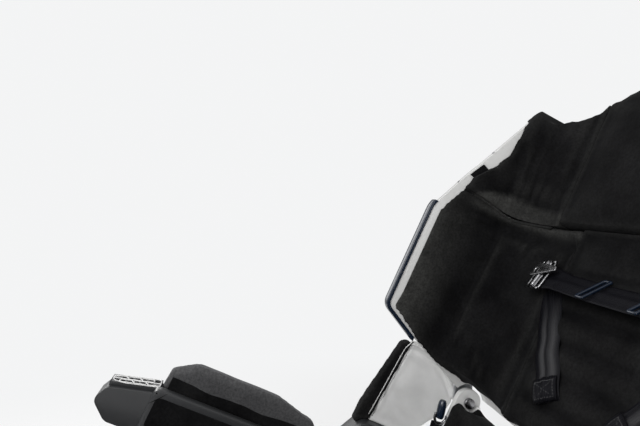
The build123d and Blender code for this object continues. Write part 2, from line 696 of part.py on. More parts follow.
def floor_slab(points, radii, x_low, x_high):
    """Solid between two x values from an outline of (y, z) points with round corners."""
    face = make_face(Plane.YZ * FilletPolyline(*points, radius=radii, close=True))
    return extrude(face.moved(Location((x_low, 0, 0))), x_high - x_low, dir=(1, 0, 0))


# Rails: a drilled flange and a rib along it
rail_end = rail_length / 2
rail = floor_box(
    (rail_half_x - rail_width / 2, rail_half_x + rail_width / 2), (-rail_end, rail_end), (0, rail_flange)
)
rail = fillet(rail.edges().filter_by(Axis.Z), rail_corner)
rib_end = rail_end - rail_rib_inset
rail += floor_box(
    (rail_half_x - rail_rib / 2, rail_half_x + rail_rib / 2), (-rib_end, rib_end), (rail_flange, rail_height)
)
for bolt_y in (bolt_end - rail_end, rail_end - bolt_end):
    rail -= Pos(rail_half_x + bolt_offset_x, bolt_y, 0) * Cylinder(bolt_hole_r, 2 * rail_flange + bore_slack)
add_pair("base_rail", rail)

# Stanchions: two open frames that carry the tilt shaft
stanchion_x = (rail_half_x - stanchion_thick / 2, rail_half_x + stanchion_thick / 2)
stanchion = floor_slab(
    [(tilt_y + stanchion_foot[0], rail_height), (tilt_y - stanchion_head[0], tilt_z + stanchion_head[1]),
     (tilt_y + stanchion_head[0], tilt_z + stanchion_head[1]), (tilt_y + stanchion_foot[1], rail_height)],
    stanchion_radii, *stanchion_x
)
window_foot_z, window_head_z = rail_height + stanchion_frame, tilt_z - window_drop
stanchion -= floor_slab(
    [(tilt_y + window_foot[0], window_foot_z), (tilt_y - window_head, window_head_z),
     (tilt_y + window_head, window_head_z), (tilt_y + window_foot[1], window_foot_z)],
    window_corner, 0, far
)
shaft_bore = Cylinder(tilt_shaft_r + running_gap, far, rotation=(0, 90, 0))
add_pair("stanchion", stanchion - Pos(0, tilt_y, tilt_z) * shaft_bore)

# Cross beams between the rails
cross_half_x = rail_half_x - rail_rib / 2
for name, beam_y in (("base_cross_front", cross_end - rail_end), ("base_cross_rear", rail_end - cross_end)):
    beam = floor_box(
        (-cross_half_x, cross_half_x), (beam_y - cross_size[0] / 2, beam_y + cross_size[0] / 2),
        (rail_flange, rail_flange + cross_size[1])
    )
    nodes[name] = fillet(beam.edges().filter_by(Axis.X), beam_edge_r)

os.makedirs("parts", exist_ok=True)
for name, piece in nodes.items():
    export_step(piece, f"parts/{name}.step")
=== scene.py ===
import json
from math import cos, exp, pi, radians, sin

import bmesh
import bpy
import numpy as np
from mathutils import Matrix, Vector, noise as slow_noise
from mathutils.bvhtree import BVHTree


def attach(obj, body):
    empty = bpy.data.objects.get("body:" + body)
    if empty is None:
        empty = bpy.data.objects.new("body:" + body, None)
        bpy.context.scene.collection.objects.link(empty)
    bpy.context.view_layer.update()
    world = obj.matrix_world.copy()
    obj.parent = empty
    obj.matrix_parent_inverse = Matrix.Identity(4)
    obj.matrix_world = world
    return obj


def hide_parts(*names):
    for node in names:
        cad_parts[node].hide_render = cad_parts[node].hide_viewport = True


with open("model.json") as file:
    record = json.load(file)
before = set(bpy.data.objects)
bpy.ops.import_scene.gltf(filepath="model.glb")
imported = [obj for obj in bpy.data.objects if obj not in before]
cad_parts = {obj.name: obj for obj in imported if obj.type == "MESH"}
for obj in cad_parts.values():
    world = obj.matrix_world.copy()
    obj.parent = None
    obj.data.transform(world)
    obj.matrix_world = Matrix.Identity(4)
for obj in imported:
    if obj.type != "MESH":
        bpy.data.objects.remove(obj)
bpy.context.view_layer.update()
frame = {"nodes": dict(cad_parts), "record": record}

nodes = frame["nodes"]
slot_of_node = {part["node"]: part["material_slot"] for part in frame["record"]["subparts"]}
body_of_node = {
    name: body for body, members in frame["record"]["behaviour"]["bodies"].items() for name in members
}
SIDES = (("left", 1), ("right", -1))      # each side's name and the sign of its x

# The couch frame of the CAD source, in metres: up runs along the backrest, forward stands
# square off it, and its origin is the foot of the backrest cushion's face.
RECLINE = radians(25.5)
COUCH_FOOT = Vector((0, 0.240, 0.665))
COUCH = Matrix.Translation(COUCH_FOOT) @ Matrix.Rotation(-RECLINE, 4, "X")
COUCH_BACK = COUCH.inverted()


def seat(x, forward, up):
    """Point of the couch frame, given in millimetres, in the row frame."""
    return COUCH @ (Vector((x, -forward, up)) / 1000)


def seats(points, sign=1):
    """Points of the couch frame's left side, or of its right side if the sign is -1, in the row frame."""
    return [seat(sign * x, forward, up) for x, forward, up in points]


def toward(x, forward, up):
    """Direction of the couch frame as a direction of the row frame."""
    return (COUCH.to_3x3() @ Vector((x, -forward, up))).normalized()


OUT, IN, UP = toward(0, 1, 0), toward(0, -1, 0), toward(0, 0, 1)
INBOARD = toward(-1, 0, 0)                # from the left side


def add_object(name, data):
    """New object in the scene."""
    thing = bpy.data.objects.new(name, data)
    bpy.context.scene.collection.objects.link(thing)
    return thing


# Camera: beside the seat at the occupant's left shoulder, looking across it
CAMERA_AT = COUCH_FOOT + Vector((0.570, -0.408, 0.354))
CAMERA_AHEAD = Vector((-0.985, 0.1675, -0.0359)).normalized()
CAMERA_RIGHT = Vector((0.1675, 0.985, 0.0)).normalized()
CAMERA_LENS = 28.125      # millimetres on a 36 mm wide sensor

camera_data = bpy.data.cameras.new("camera")
camera_data.lens = CAMERA_LENS
camera_data.sensor_width = 36
camera = add_object("camera", camera_data)
camera.matrix_world = Matrix.Translation(CAMERA_AT) @ Matrix(
    (CAMERA_RIGHT, CAMERA_RIGHT.cross(CAMERA_AHEAD), -CAMERA_AHEAD)
).transposed().to_4x4()
bpy.context.scene.camera = camera


# Materials

def new_material(name):
    """Material with its Principled shader, ready for links."""
    material = bpy.data.materials.new(name)
    material.use_nodes = True
    tree = material.node_tree
    return material, tree, tree.nodes["Principled BSDF"]


def feed(tree, node, inputs):
    """Give a node's inputs, by name or number, their values or link them to sockets."""
    for key, value in inputs.items():
        if isinstance(value, bpy.types.NodeSocket):
            tree.links.new(value, node.inputs[key])
        else:
            node.inputs[key].default_value = value


def add(tree, kind, inputs=None, **properties):
    """Shader node with its properties set and its inputs fed."""
    node = tree.nodes.new("ShaderNode" + kind)
    for key, value in properties.items():
        setattr(node, key, value)
    feed(tree, node, inputs or {})
    return node


def noise(tree, scale, detail=4, roughness=0.6, stretch=(1, 1, 1)):
    """Noise in object space, so it doesn't swim when the piece moves."""
    place = add(tree, "TexCoord").outputs["Object"]
    mapping = add(tree, "Mapping", {"Vector": place, "Scale": stretch})
    return add(tree, "TexNoise", {
        "Vector": mapping.outputs["Vector"], "Scale": scale, "Detail": detail, "Roughness": roughness,
    }).outputs["Fac"]


def ramp(tree, source, stops):
    """Colour ramp over a value: stops are (position, grey or colour)."""
    node = add(tree, "ValToRGB", {"Fac": source})
    elements = node.color_ramp.elements
    while len(elements) < len(stops):
        elements.new(0.5)
    for element, (position, colour) in zip(elements, stops):
        element.position = position
        element.color = (*(colour if isinstance(colour, tuple) else (colour,) * 3), 1)
    return node.outputs["Color"]


def mottled(tree, scale, colour, dim):
    """Colour that dims a little in slow patches."""
    return ramp(tree, noise(tree, scale), [(0.3, tuple(dim * c for c in colour)), (0.7, colour)])


def bump(tree, shader, height, distance, strength, before=None):
    """Bump from a value, stacked on an earlier bump if there is one."""
    inputs = {"Height": height, "Distance": distance, "Strength": strength}
    if before is not None:
        inputs["Normal"] = before
    normal = add(tree, "Bump", inputs).outputs["Normal"]
    feed(tree, shader, {"Normal": normal})
    return normal


def mixed(tree, factor, first, second, **properties):
    """Colour mixed from two colours or sockets by a factor."""
    first, second = ((*value, 1) if isinstance(value, tuple) else value for value in (first, second))
    return add(tree, "Mix", {"Factor": factor, 6: first, 7: second}, data_type="RGBA", **properties).outputs[2]


def product(tree, first, second):
    """One value times another."""
    return add(tree, "Math", {0: first, 1: second}, operation="MULTIPLY").outputs[0]


def wear_and_highlight_mark(tree):
    """How strongly the mesh is marked with wear and painted highlight."""
    return add(tree, "Attribute", attribute_name="wear_and_highlight").outputs["Fac"]


def suede(name, dark, light, wear_and_highlight, sheen):
    """Napped cloth: brushed light and dark patches, a fine nap, and paler where the mesh is marked with wear and
    painted highlight.
    """
    material, tree, shader = new_material(name)
    brushed = mixed(tree, ramp(tree, noise(tree, 11), [(0.35, 0.0), (0.68, 1.0)]), dark, light)
    spots = ramp(tree, noise(tree, 38, 6, 0.75), [(0.32, 0.45), (0.62, 1.0)])
    colour = mixed(tree, product(tree, wear_and_highlight_mark(tree), spots), brushed, wear_and_highlight)
    fibres = ramp(tree, noise(tree, 240, 6, 0.72), [(0.36, 0.42), (0.64, 1.0)])
    feed(tree, shader, {
        "Base Color": mixed(tree, 0.8, colour, fibres, blend_type="MULTIPLY"), "Roughness": 0.92,
        "Specular IOR Level": 0.05, "Sheen Weight": sheen, "Sheen Roughness": 0.4, "Sheen Tint": (0.85, 0.85, 0.88, 1),
    })
    soft_bump = bump(tree, shader, noise(tree, 40, 3), 0.0012, 0.5)
    bump(tree, shader, noise(tree, 900, 2), 0.0003, 0.6, soft_bump)
    return material


def painted(name, colour, roughness, coat):
    """Smooth paint over a moulding, with faint orange peel and handling haze."""
    material, tree, shader = new_material(name)
    smears = [(0.3, roughness * 0.8), (0.75, min(1, roughness * 1.35))]
    feed(tree, shader, {
        "Base Color": mottled(tree, 7, colour, 0.93), "Roughness": ramp(tree, noise(tree, 18, 5, 0.7), smears),
        "Coat Weight": coat, "Coat Roughness": 0.08,
    })
    bump(tree, shader, noise(tree, 220, 2), 0.00003, 0.7)
    return material


def grained(name, colour, roughness, scale, depth):
    """Moulded plastic or coated hide with a pebbled grain."""
    material, tree, shader = new_material(name)
    feed(tree, shader, {"Base Color": mottled(tree, 14, colour, 0.85), "Roughness": roughness})
    place = add(tree, "TexCoord").outputs["Object"]
    cells = add(tree, "TexVoronoi", {"Vector": place, "Scale": scale}, feature="SMOOTH_F1")
    bump(tree, shader, cells.outputs["Distance"], depth, 0.6)
    return material


def metal(name, colour, roughness, brushed):
    """Bare or anodised metal with fine brushing along one way."""
    material, tree, shader = new_material(name)
    streaks = noise(tree, 120, 3, 0.6, brushed)
    feed(tree, shader, {
        "Metallic": 1, "Base Color": mottled(tree, 30, colour, 0.82),
        "Roughness": ramp(tree, streaks, [(0.3, roughness * 0.75), (0.7, roughness * 1.3)]),
    })
    bump(tree, shader, streaks, 0.00003, 0.5)
    return material


def woven(name, dark, light, painted_shine, across):
    """Seat-belt webbing: lengthwise ribs crossed by a fine weft, satiny and paler where the mesh carries painted
    shine.
    """
    material, tree, shader = new_material(name)
    place = add(tree, "UVMap", uv_map="weave").outputs["UV"]
    ribs, weft = (
        add(tree, "TexWave", {"Vector": place, "Scale": scale}, bands_direction=way).outputs["Fac"]
        for way, scale in (("X", across), ("Y", across * 3))
    )
    feed(tree, shader, {
        "Base Color": mixed(tree, wear_and_highlight_mark(tree), mixed(tree, ribs, dark, light), painted_shine), "Roughness": 0.42,
        "Specular IOR Level": 0.10,
    })
    bump(tree, shader, product(tree, ribs, weft), 0.0004, 0.8)
    return material


# Each suede's third colour shows wear and painted highlight; the webbing's third colour shows painted shine.
FINISHES = {
    "white_shell": (painted, (0.69, 0.69, 0.68), 0.32, 0.3),
    "blue_black_gloss": (painted, (0.006, 0.013, 0.028), 0.26, 0.3),
    "black_suede": (suede, (0.0045, 0.0045, 0.005), (0.014, 0.014, 0.0145), (0.066, 0.066, 0.063), 0.035),
    "grey_suede": (suede, (0.070, 0.070, 0.073), (0.105, 0.105, 0.108), (0.20, 0.20, 0.20), 0.25),
    "pale_grey_panel": (grained, (0.80, 0.80, 0.795), 0.55, 900, 0.00008),
    "dark_grey_moulding": (grained, (0.027, 0.028, 0.030), 0.42, 1400, 0.00006),
    "frame_metal": (metal, (0.42, 0.43, 0.45), 0.38, (1, 8, 8)),
    "rail_metal": (metal, (0.34, 0.35, 0.37), 0.42, (8, 1, 8)),
    "bright_steel": (metal, (0.34, 0.34, 0.35), 0.24, (1, 1, 1)),
    "black_webbing": (woven, (0.003, 0.003, 0.0045), (0.009, 0.009, 0.012), (0.062, 0.062, 0.065), 125),
}
MATERIALS = {slot: finish(slot, *values) for slot, (finish, *values) in FINISHES.items()}


def dress(piece, slot):
    """Give a piece one finish and name the record's slot it comes from."""
    piece.data.materials.clear()
    piece.data.materials.append(MATERIALS[slot])


# Rigid CAD nodes keep their shape and get softened edges: rounding in metres
PLAIN_ROUND = 0.0008
EDGE_ROUND = {
    "back_shell": 0.0022, "pan_shell": 0.0022, "leg_shell": 0.002, "armrest": 0.002, "rim_lip": 0.0018,
    "arm_grille": 0.0006, "hip_panel": 0.0022, "foot_plate": 0.0012, "heel_cup": 0.0012, "base_rail": 0.001,
    "stanchion": 0.0012, "cradle": 0.0012, "harness_reel": 0.002,
}


def stem(name):
    """Node name without its side."""
    return name.removesuffix("_left").removesuffix("_right")


def modify(piece, kind, **values):
    """Add a modifier with its values set."""
    modifier = piece.modifiers.new(kind.lower(), kind)
    for key, value in values.items():
        setattr(modifier, key, value)


def smooth(mesh):
    """Shade a mesh smooth."""
    for face in mesh.polygons:
        face.use_smooth = True


for name, node in nodes.items():
    for holder in node.material_slots:
        holder.material = MATERIALS[slot_of_node[name]]
    modify(node, "WELD", merge_threshold=0.00001)
    modify(node, "DECIMATE", decimate_type="DISSOLVE", angle_limit=radians(0.6))
    modify(
        node, "BEVEL", width=EDGE_ROUND.get(stem(name), PLAIN_ROUND), segments=2, limit_method="ANGLE",
        angle_limit=radians(40), harden_normals=True
    )
    smooth(node.data)


# Geometry helpers

def link(name, mesh, slot, body):
    """Object from a mesh, dressed and riding on its body."""
    piece = add_object(name, mesh)
    dress(piece, slot)
    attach(piece, body)
    return piece


def mesh_of(name, points, faces):
    """Smooth mesh from points in metres and faces."""
    mesh = bpy.data.meshes.new(name)
    mesh.from_pydata([tuple(point) for point in points], [], faces)
    mesh.update()
    smooth(mesh)
    return mesh


def search_tree(names):
    """Search tree over the CAD meshes of several nodes."""
    points, faces = [], []
    for name in names:
        base = len(points)
        mesh = nodes[name].data
        points += [vertex.co.copy() for vertex in mesh.vertices]
        faces += [[base + index for index in face.vertices] for face in mesh.polygons]
    return BVHTree.FromPolygons(points, faces)


def tree_of(piece):
    """Search tree over a finished piece as it shows."""
    return BVHTree.FromObject(piece, bpy.context.evaluated_depsgraph_get())


def baked(thing):
    """Mesh of an object with its modifiers applied."""
    graph = bpy.context.evaluated_depsgraph_get()
    return bpy.data.meshes.new_from_object(thing.evaluated_get(graph), depsgraph=graph)


# Padded pieces

LAID_ON = {"shoulder_strap", "chest_strap", "strap_tongue", "lap_belt", "crotch_strap", "harness_buckle"}
HOLD_WITHIN, FREE_OVER = 0.004, 0.012     # a point nearer than this is held, and comes free over the next stretch
NEAR_ENOUGH = 0.03
CLOTH_FRAMES = 20
CLOTH = {
    "vertex_group_mass": "held", "use_pressure": True, "uniform_pressure_force": 4, "tension_stiffness": 12,
    "compression_stiffness": 12, "bending_stiffness": 0.6,
}
WEAR_FROM, WEAR_MOST = 2.4, 0.18          # millimetres an edge stands out, and the wear that this brings


def fade(value, start, end):
    """Share that runs from 0 at a start to 1 at an end."""
    return np.clip((value - start) / (end - start), 0, 1)


def coordinates(mesh):
    """Vertex places of a mesh as an array."""
    flat = np.empty(len(mesh.vertices) * 3)
    mesh.vertices.foreach_get("co", flat)
    return flat.reshape(-1, 3)


def set_coordinates(mesh, places):
    """Write vertex places back to a mesh."""
    mesh.vertices.foreach_set("co", places.reshape(-1))
    mesh.update()


def normals(mesh):
    """Vertex normals of a mesh as an array."""
    return np.array([vertex.normal for vertex in mesh.vertices])


def couch_places(mesh):
    """Vertex places of a mesh in the couch frame, millimetres: x, forward, up."""
    turned = coordinates(mesh) @ np.array(COUCH_BACK.to_3x3()).T + np.array(COUCH_BACK.translation)
    return np.column_stack((turned[:, 0], -turned[:, 1], turned[:, 2])) * 1000


def set_couch_places(mesh, places):
    """Write vertex places given in the couch frame, millimetres."""
    turned = np.column_stack((places[:, 0], -places[:, 1], places[:, 2])) / 1000
    set_coordinates(mesh, turned @ np.array(COUCH.to_3x3()).T + np.array(COUCH.translation))


def neighbour_mean(mesh):
    """Function from a mesh's vertex places to the mean place of each vertex's neighbours."""
    ends = np.empty(len(mesh.edges) * 2, dtype=int)
    mesh.edges.foreach_get("vertices", ends)
    first, second = ends.reshape(-1, 2).T
    count = np.maximum(np.bincount(ends, minlength=len(mesh.vertices)), 1)

    def mean(places):
        return np.column_stack([
            np.bincount(first, places[second, axis], len(places))
            + np.bincount(second, places[first, axis], len(places)) for axis in range(3)
        ]) / count[:, None]
    return mean


def relax(mesh, rounds):
    """Smooth a mesh a few rounds without drawing it in."""
    mean = neighbour_mean(mesh)
    places = coordinates(mesh)
    for _ in range(rounds):
        for factor in (0.5, -0.52):
            places += factor * (mean(places) - places)
    set_coordinates(mesh, places)


def inflate(piece, start, free, cap):
    """Blow a piece up as cloth under pressure, by a cap at most, where it is free."""
    held = piece.vertex_groups.new(name="held")
    for index, share in enumerate(free):
        held.add([index], 1.0 - share, "REPLACE")
    cloth = piece.modifiers.new("cloth", "CLOTH")
    for key, value in CLOTH.items():
        setattr(cloth.settings, key, value)
    cloth.settings.effector_weights.gravity = 0
    cloth.point_cache.frame_start = 1
    cloth.point_cache.frame_end = CLOTH_FRAMES
    scene = bpy.context.scene
    for number in range(1, CLOTH_FRAMES + 1):
        scene.frame_set(number)
    graph = bpy.context.evaluated_depsgraph_get()
    move = coordinates(piece.evaluated_get(graph).data) - start
    piece.modifiers.clear()
    piece.vertex_groups.clear()
    scene.frame_set(1)
    scale = np.minimum(1, cap / np.maximum(np.linalg.norm(move, axis=1), 1e-9))
    set_coordinates(piece.data, start + move * scale[:, None])


def mark_wear_and_highlight(mesh, extra):
    """Mark raised edges as worn, and add whatever else is handed in: more wear and painted highlight."""
    mean = neighbour_mean(mesh)
    places = coordinates(mesh)
    flattened = places
    for _ in range(14):
        flattened = mean(flattened)
    raised = np.einsum("ij,ij->i", places - flattened, normals(mesh)) * 1000
    wear_and_highlight = np.clip(raised / WEAR_FROM, 0, 1) * WEAR_MOST
    if extra is not None:
        wear_and_highlight = np.clip(wear_and_highlight + extra(couch_places(mesh)), 0, 1)
    mark(mesh, wear_and_highlight)


def mark(mesh, wear_and_highlight):
    """Write each vertex's wear and painted highlight."""
    layer = mesh.attributes.new("wear_and_highlight", "FLOAT", "POINT")
    layer.data.foreach_set("value", np.array(wear_and_highlight, dtype=np.float32))


def pad(name, voxel, cap, sink, rounds, sewing, wear_and_highlight):
    """Cushion stuffed from its CAD solid: drawn in, inflated as cloth, capped, then sewn."""
    mesh = nodes[name].data.copy()
    mesh.transform(COUCH_BACK)          # the remesh grid then runs along the cushions' edges
    piece = add_object("soft_" + name, mesh)
    tree = search_tree([other for other in nodes if other != name and stem(other) not in LAID_ON])
    modify(piece, "REMESH", mode="VOXEL", voxel_size=voxel)
    mesh = baked(piece)
    piece.modifiers.clear()
    piece.data = mesh
    mesh.transform(COUCH)
    near = np.array([tree.find_nearest(Vector(place), NEAR_ENOUGH)[3] or NEAR_ENOUGH for place in coordinates(mesh)])
    relax(mesh, rounds)
    free = np.clip((near - HOLD_WITHIN) / FREE_OVER, 0, 1)
    start = coordinates(mesh) - normals(mesh) * (sink * free)[:, None]
    set_coordinates(mesh, start)
    inflate(piece, start, free, cap)
    relax(mesh, 8)
    sewing(mesh)
    mark_wear_and_highlight(mesh, wear_and_highlight)
    smooth(mesh)
    return piece


def mirror_x(piece, name):
    """Mirror image of a left piece as a piece of its own."""
    mesh = piece.data.copy()
    mesh.transform(Matrix.Diagonal((-1, 1, 1, 1)))
    mesh.flip_normals()
    return add_object(name, mesh)


def push(mesh, amounts):
    """Move each vertex along its normal by an amount in millimetres."""
    set_coordinates(mesh, coordinates(mesh) + normals(mesh) * (amounts / 1000)[:, None])


def hump(value, middle, width):
    """Round bump over a middle value, 1 high."""
    return np.exp(-((value - middle) / width) ** 2)


def lumps(places, size, depth):
    """Slow unevenness of the stuffing."""
    return np.array([slow_noise.noise(Vector(place) / size) * depth for place in places])


def sew_plain(mesh):
    """Slow lumps only."""
    push(mesh, lumps(couch_places(mesh), 50, 1.1))


def channelled(axis, lines, depth, width, face_axis, face, size):
    """Sewing of a cushion with channels at places along one axis, on its side past a face."""
    def sew(mesh):
        places = couch_places(mesh)
        amount = sum(-depth * hump(places[:, axis], line, width) for line in lines)
        push(mesh, (amount + lumps(places, size, 0.8)) * fade(places[:, face_axis], *face))
    return sew


CHANNELS_BACK = (13, 58, 104, 148, 194, 257)      # up of each channel
CHANNELS_SEAT = (60, 130, 200, 270, 340, 410)     # forward of each channel
CHANNELS_CALF = (-690, -630, -570, -510)          # up of each channel


def sew_back(mesh):
    """Channels across the middle cushion, shallow where it meets the bolsters."""
    places = couch_places(mesh)
    x, forward, up = places.T
    facing = fade(forward, -20, 0)
    middle = fade(abs(x), 150, 110)
    amount = sum(-4.5 * hump(up, line, 5) for line in CHANNELS_BACK)
    crown = fade(up, 13, 33) * fade(up, 214, 194) * 1.2 * np.cos((up - 35.5) / 45.5 * 2 * pi)
    push(mesh, ((amount + crown) * middle + lumps(places, 60, 0.8)) * facing)


LEDGE_UP, LEDGE_DIP = 332, 15             # seam between body and head cushions, and how far it dips


def swayed(forward):
    """Share of the seam's dip at a forward value: deepest in the middle of the wing."""
    return hump(forward, 46, 46)


def dip_ledge(mesh):
    """Let the seam under the head wing dip in a bow."""
    places = couch_places(mesh)
    places[:, 2] -= LEDGE_DIP * swayed(places[:, 1]) * hump(places[:, 2], LEDGE_UP, 38)
    set_couch_places(mesh, places)


LOWER_EDGE = (189, 84)                    # forward and up of the wing's lower tip
LOWER_RUN = (0.890, 0.457)                # direction of its lower edge
HARNESS_SLOT = (202, 246)                 # x and up of the slot that a shoulder strap leaves by


def sew_bolster(mesh):
    """A lower edge drawn down over the rim, a hollow round the strap slot, a roll under the head cushion, lumps."""
    dip_ledge(mesh)
    places = couch_places(mesh)
    x, forward, up = places.T
    facing = fade(forward, -20, 0)
    low_edge = (up - LOWER_EDGE[1]) * LOWER_RUN[0] - (forward - LOWER_EDGE[0]) * LOWER_RUN[1]
    most = 13 + 8 * fade(forward, 136, 96)
    reach = most * fade(low_edge, 44, 0) * fade(forward, 10, 50) * fade(up, 116, 92)
    places[:, 1] += reach * LOWER_RUN[1]
    places[:, 2] -= reach * LOWER_RUN[0]
    set_couch_places(mesh, places)
    dent = -8 * np.exp(-(((abs(x) - HARNESS_SLOT[0]) / 24) ** 2 + ((up - HARNESS_SLOT[1]) / 40) ** 4))
    roll = 4.5 * hump(up, 319, 9) - 5 * hump(up, 297, 11)
    uneven = lumps(places, 55, 1.6) * np.maximum(fade(forward, 176, 126), 0.25)
    push(mesh, (dent + roll * fade(forward, 150, 90) + uneven) * facing)


RIM_LOW, RIM_HIGH = (154, 361), (138, 391)      # forward and up of the rim at its notch
WAIST_LOW, WAIST_HIGH = (142, 362), (124, 384)  # the same of the head cushion's front edge there


def sew_wing(mesh):
    """Head wing: a chin that slopes back to the seam and a full cheek over it, its front edge cut at the notch."""
    dip_ledge(mesh)
    places = couch_places(mesh)
    places[:, 2] -= np.maximum(places[:, 2] - 505, 0) * 0.2 * fade(abs(places[:, 0]), 262, 282)
    set_couch_places(mesh, places)
    x, forward, up = places.T
    facing = fade(forward, -30, 0) * fade(up, 560, 530)
    cheek = 6 * hump(up, 378, 22) * swayed(forward)
    chin = -6 * fade(up, 352, 318) * swayed(forward)
    uneven = lumps(places, 60, 1.4) * np.maximum(fade(forward, 156, 106), 0.25)
    push(mesh, (cheek + chin + uneven) * facing)
    places = couch_places(mesh)
    x, forward, up = places.T
    slope = (WAIST_HIGH[0] - WAIST_LOW[0]) / (WAIST_HIGH[1] - WAIST_LOW[1])
    waist = WAIST_LOW[0] + slope * (up - WAIST_LOW[1])
    notch = (up > WAIST_LOW[1] - 14) & (up < RIM_HIGH[1] + 12) & (forward > waist)
    places[:, 1] = np.where(notch, waist, forward)
    set_couch_places(mesh, places)


# Forward and up along the upper edge of the painted highlight's crescent
CRESCENT = ((-82, 352), (-6, 355), (33, 356), (70, 360), (103, 353), (139, 334))


def painted_crescent_highlight(places):
    """Painted highlight where the chin's ledge catches the light, in a crescent over the seam."""
    x, forward, up = places.T
    # painted highlight: paler colour in a crescent just under this edge
    top = np.interp(forward, *zip(*CRESCENT))
    return fade(top - up, 0, 9) * fade(forward, -60, 100) * fade(forward, 141, 129)


def bolster_wear_and_highlight(places):
    """Rubbed along the wing's front edge, most at the elbow, and a painted highlight under the crescent."""
    x, forward, up = places.T
    edge = fade(forward, 92, 162) * fade(up, 330, 270)
    elbow = np.exp(-(((forward - 165) / 42) ** 2 + ((up - 120) / 66) ** 2))
    # painted highlight: the crescent of light on the ledge carries on over the bolster's top
    crescent = 0.5 * hump(up, 318, 8) * fade(forward, 140, 100)
    return 0.5 * edge + 0.55 * elbow + crescent


HIP_TOP, HIP_REAR = (105, 36), (-17, -21)      # forward and up of the ends of a hip panel's top edge
HIP_BOW = 17
HIP_OUT = (-0.423, 0.906)                      # direction square to that edge, outward
HIP_INNER, HIP_OUTER = 319, 334                # x of a hip panel's faces


def sew_hip(mesh):
    """Hip panel: its top edge bowed and rolled, a seam inside the roll and soft creases over the face."""
    places = couch_places(mesh)
    x, forward, up = places.T
    span = np.array(HIP_REAR) - np.array(HIP_TOP)
    length = np.linalg.norm(span)
    along = ((forward - HIP_TOP[0]) * span[0] + (up - HIP_TOP[1]) * span[1]) / length ** 2
    below = ((forward - HIP_TOP[0]) * -span[1] + (up - HIP_TOP[1]) * span[0]) / length
    bow = HIP_BOW * np.sin(pi * np.clip(along, 0, 1))
    near = fade(below, 70, 0)
    roll = below + bow * (1 - near)
    crease = np.array([slow_noise.noise(Vector((a * 2.2, b / 16, 0.3))) for a, b in zip(along, below)])
    face = (np.minimum(abs(abs(x) - HIP_INNER), abs(abs(x) - HIP_OUTER)) < 3) * 1.0
    push(mesh, (1.6 * hump(roll, 5, 5) - 2.6 * hump(roll, 13, 3.2) + 3 * crease) * face)
    places = couch_places(mesh)
    places[:, 1] += span[1] / length * bow * near
    places[:, 2] -= span[0] / length * bow * near
    set_couch_places(mesh, places)


# Name, voxel, cap and sink in metres, smoothing rounds, sewing, wear and painted highlight, fill
PADS = [
    ("back_pad", 0.0050, 0.010, 0.005, 4, sew_back, None, 0.7),
    ("head_pad", 0.0060, 0.010, 0.004, 5, sew_plain, None, 0.7),
    ("seat_pad", 0.0070, 0.012, 0.006, 4, channelled(1, CHANNELS_SEAT, 5, 6, 2, (-405, -385), 60), None, 0.7),
    ("pelvis_pad", 0.0075, 0.010, 0.005, 4, sew_plain, None, 0.7),
    ("calf_pad", 0.0070, 0.010, 0.004, 3, channelled(2, CHANNELS_CALF, 4, 5, 1, (525, 540), 50), None, 0.7),
    ("bolster", 0.0050, 0.012, 0.006, 8, sew_bolster, bolster_wear_and_highlight, 0.75),
    ("head_wing_pad", 0.0050, 0.010, 0.004, 14, sew_wing, painted_crescent_highlight, 0.75),
    ("thigh_bolster", 0.0065, 0.012, 0.005, 6, sew_plain, None, 0.75),
    ("arm_ridge", 0.0040, 0.003, 0.002, 3, sew_plain, None, 0.9),
    ("hip_edge_pad", 0.0040, 0.003, 0.001, 2, sew_plain, None, 0.9),
    ("hip_panel", 0.0030, 0.003, 0.001, 3, sew_hip, None, 0.9),
]
soft = {}
for name, *stuffing, fill in PADS:
    if name in nodes:
        made = {name: pad(name, *stuffing)}
    else:
        left = pad(name + "_left", *stuffing)
        made = {name + "_left": left, name + "_right": mirror_x(left, f"soft_{name}_right")}
    for node_name, piece in made.items():
        modify(piece, "SUBSURF", levels=1, render_levels=1)
        dress(piece, slot_of_node[node_name])
        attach(piece, body_of_node[node_name])
        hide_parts(node_name)
    soft.update(made)
pad_trees = {name: tree_of(piece) for name, piece in soft.items()}


# Trim helpers: sizes in millimetres, paths and matrices in metres

def on_path(points, steps):
    """Smooth path through a few points, as Vectors."""
    places = [Vector(point) for point in points]
    ends = [2 * places[0] - places[1], *places, 2 * places[-1] - places[-2]]
    path = []
    for first, start, end, last in zip(ends, ends[1:], ends[2:], ends[3:]):
        for step in range(steps):
            t = step / steps
            path.append(0.5 * (
                2 * start + (end - first) * t + (2 * first - 5 * start + 4 * end - last) * t ** 2
                + (3 * start - first - 3 * end + last) * t ** 3
            ))
    return path + [places[-1]]


def directions(path):
    """Unit direction along a path at each of its points."""
    around = [path[0], *path, path[-1]]
    return [(after - before).normalized() for before, after in zip(around, around[2:])]


def circle(sides):
    """Angles of a circle's points."""
    return [2 * pi * k / sides for k in range(sides)]


def skin(rings, closed=False):
    """Points and faces of a surface over rings of points, its ends capped unless it closes on itself."""
    sides, count = len(rings[0]), len(rings)
    faces = []
    for low in range(count if closed else count - 1):
        a, b = low * sides, (low + 1) % count * sides
        faces += [(a + k, a + (k + 1) % sides, b + (k + 1) % sides, b + k) for k in range(sides)]
    if not closed:
        faces += [tuple(reversed(range(sides))), tuple((count - 1) * sides + k for k in range(sides))]
    return [point for ring in rings for point in ring], faces


def tube(name, path, radius, slot, body, sides=8, closed=False):
    """Round cord of piping or wire along a path."""
    ahead = directions(path)
    if closed:
        ahead = [(after - before).normalized() for before, after in zip(path[-1:] + path, path[1:] + path[:1])]
    side = ahead[0].orthogonal().normalized()
    rings = []
    for place, way in zip(path, ahead):
        side = (side - way * side.dot(way)).normalized()
        third = way.cross(side)
        rings.append([place + radius / 1000 * (cos(turn) * side + sin(turn) * third) for turn in circle(sides)])
    return link(name, mesh_of(name, *skin(rings, closed)), slot, body)


WEBBING_THICK = 1.6


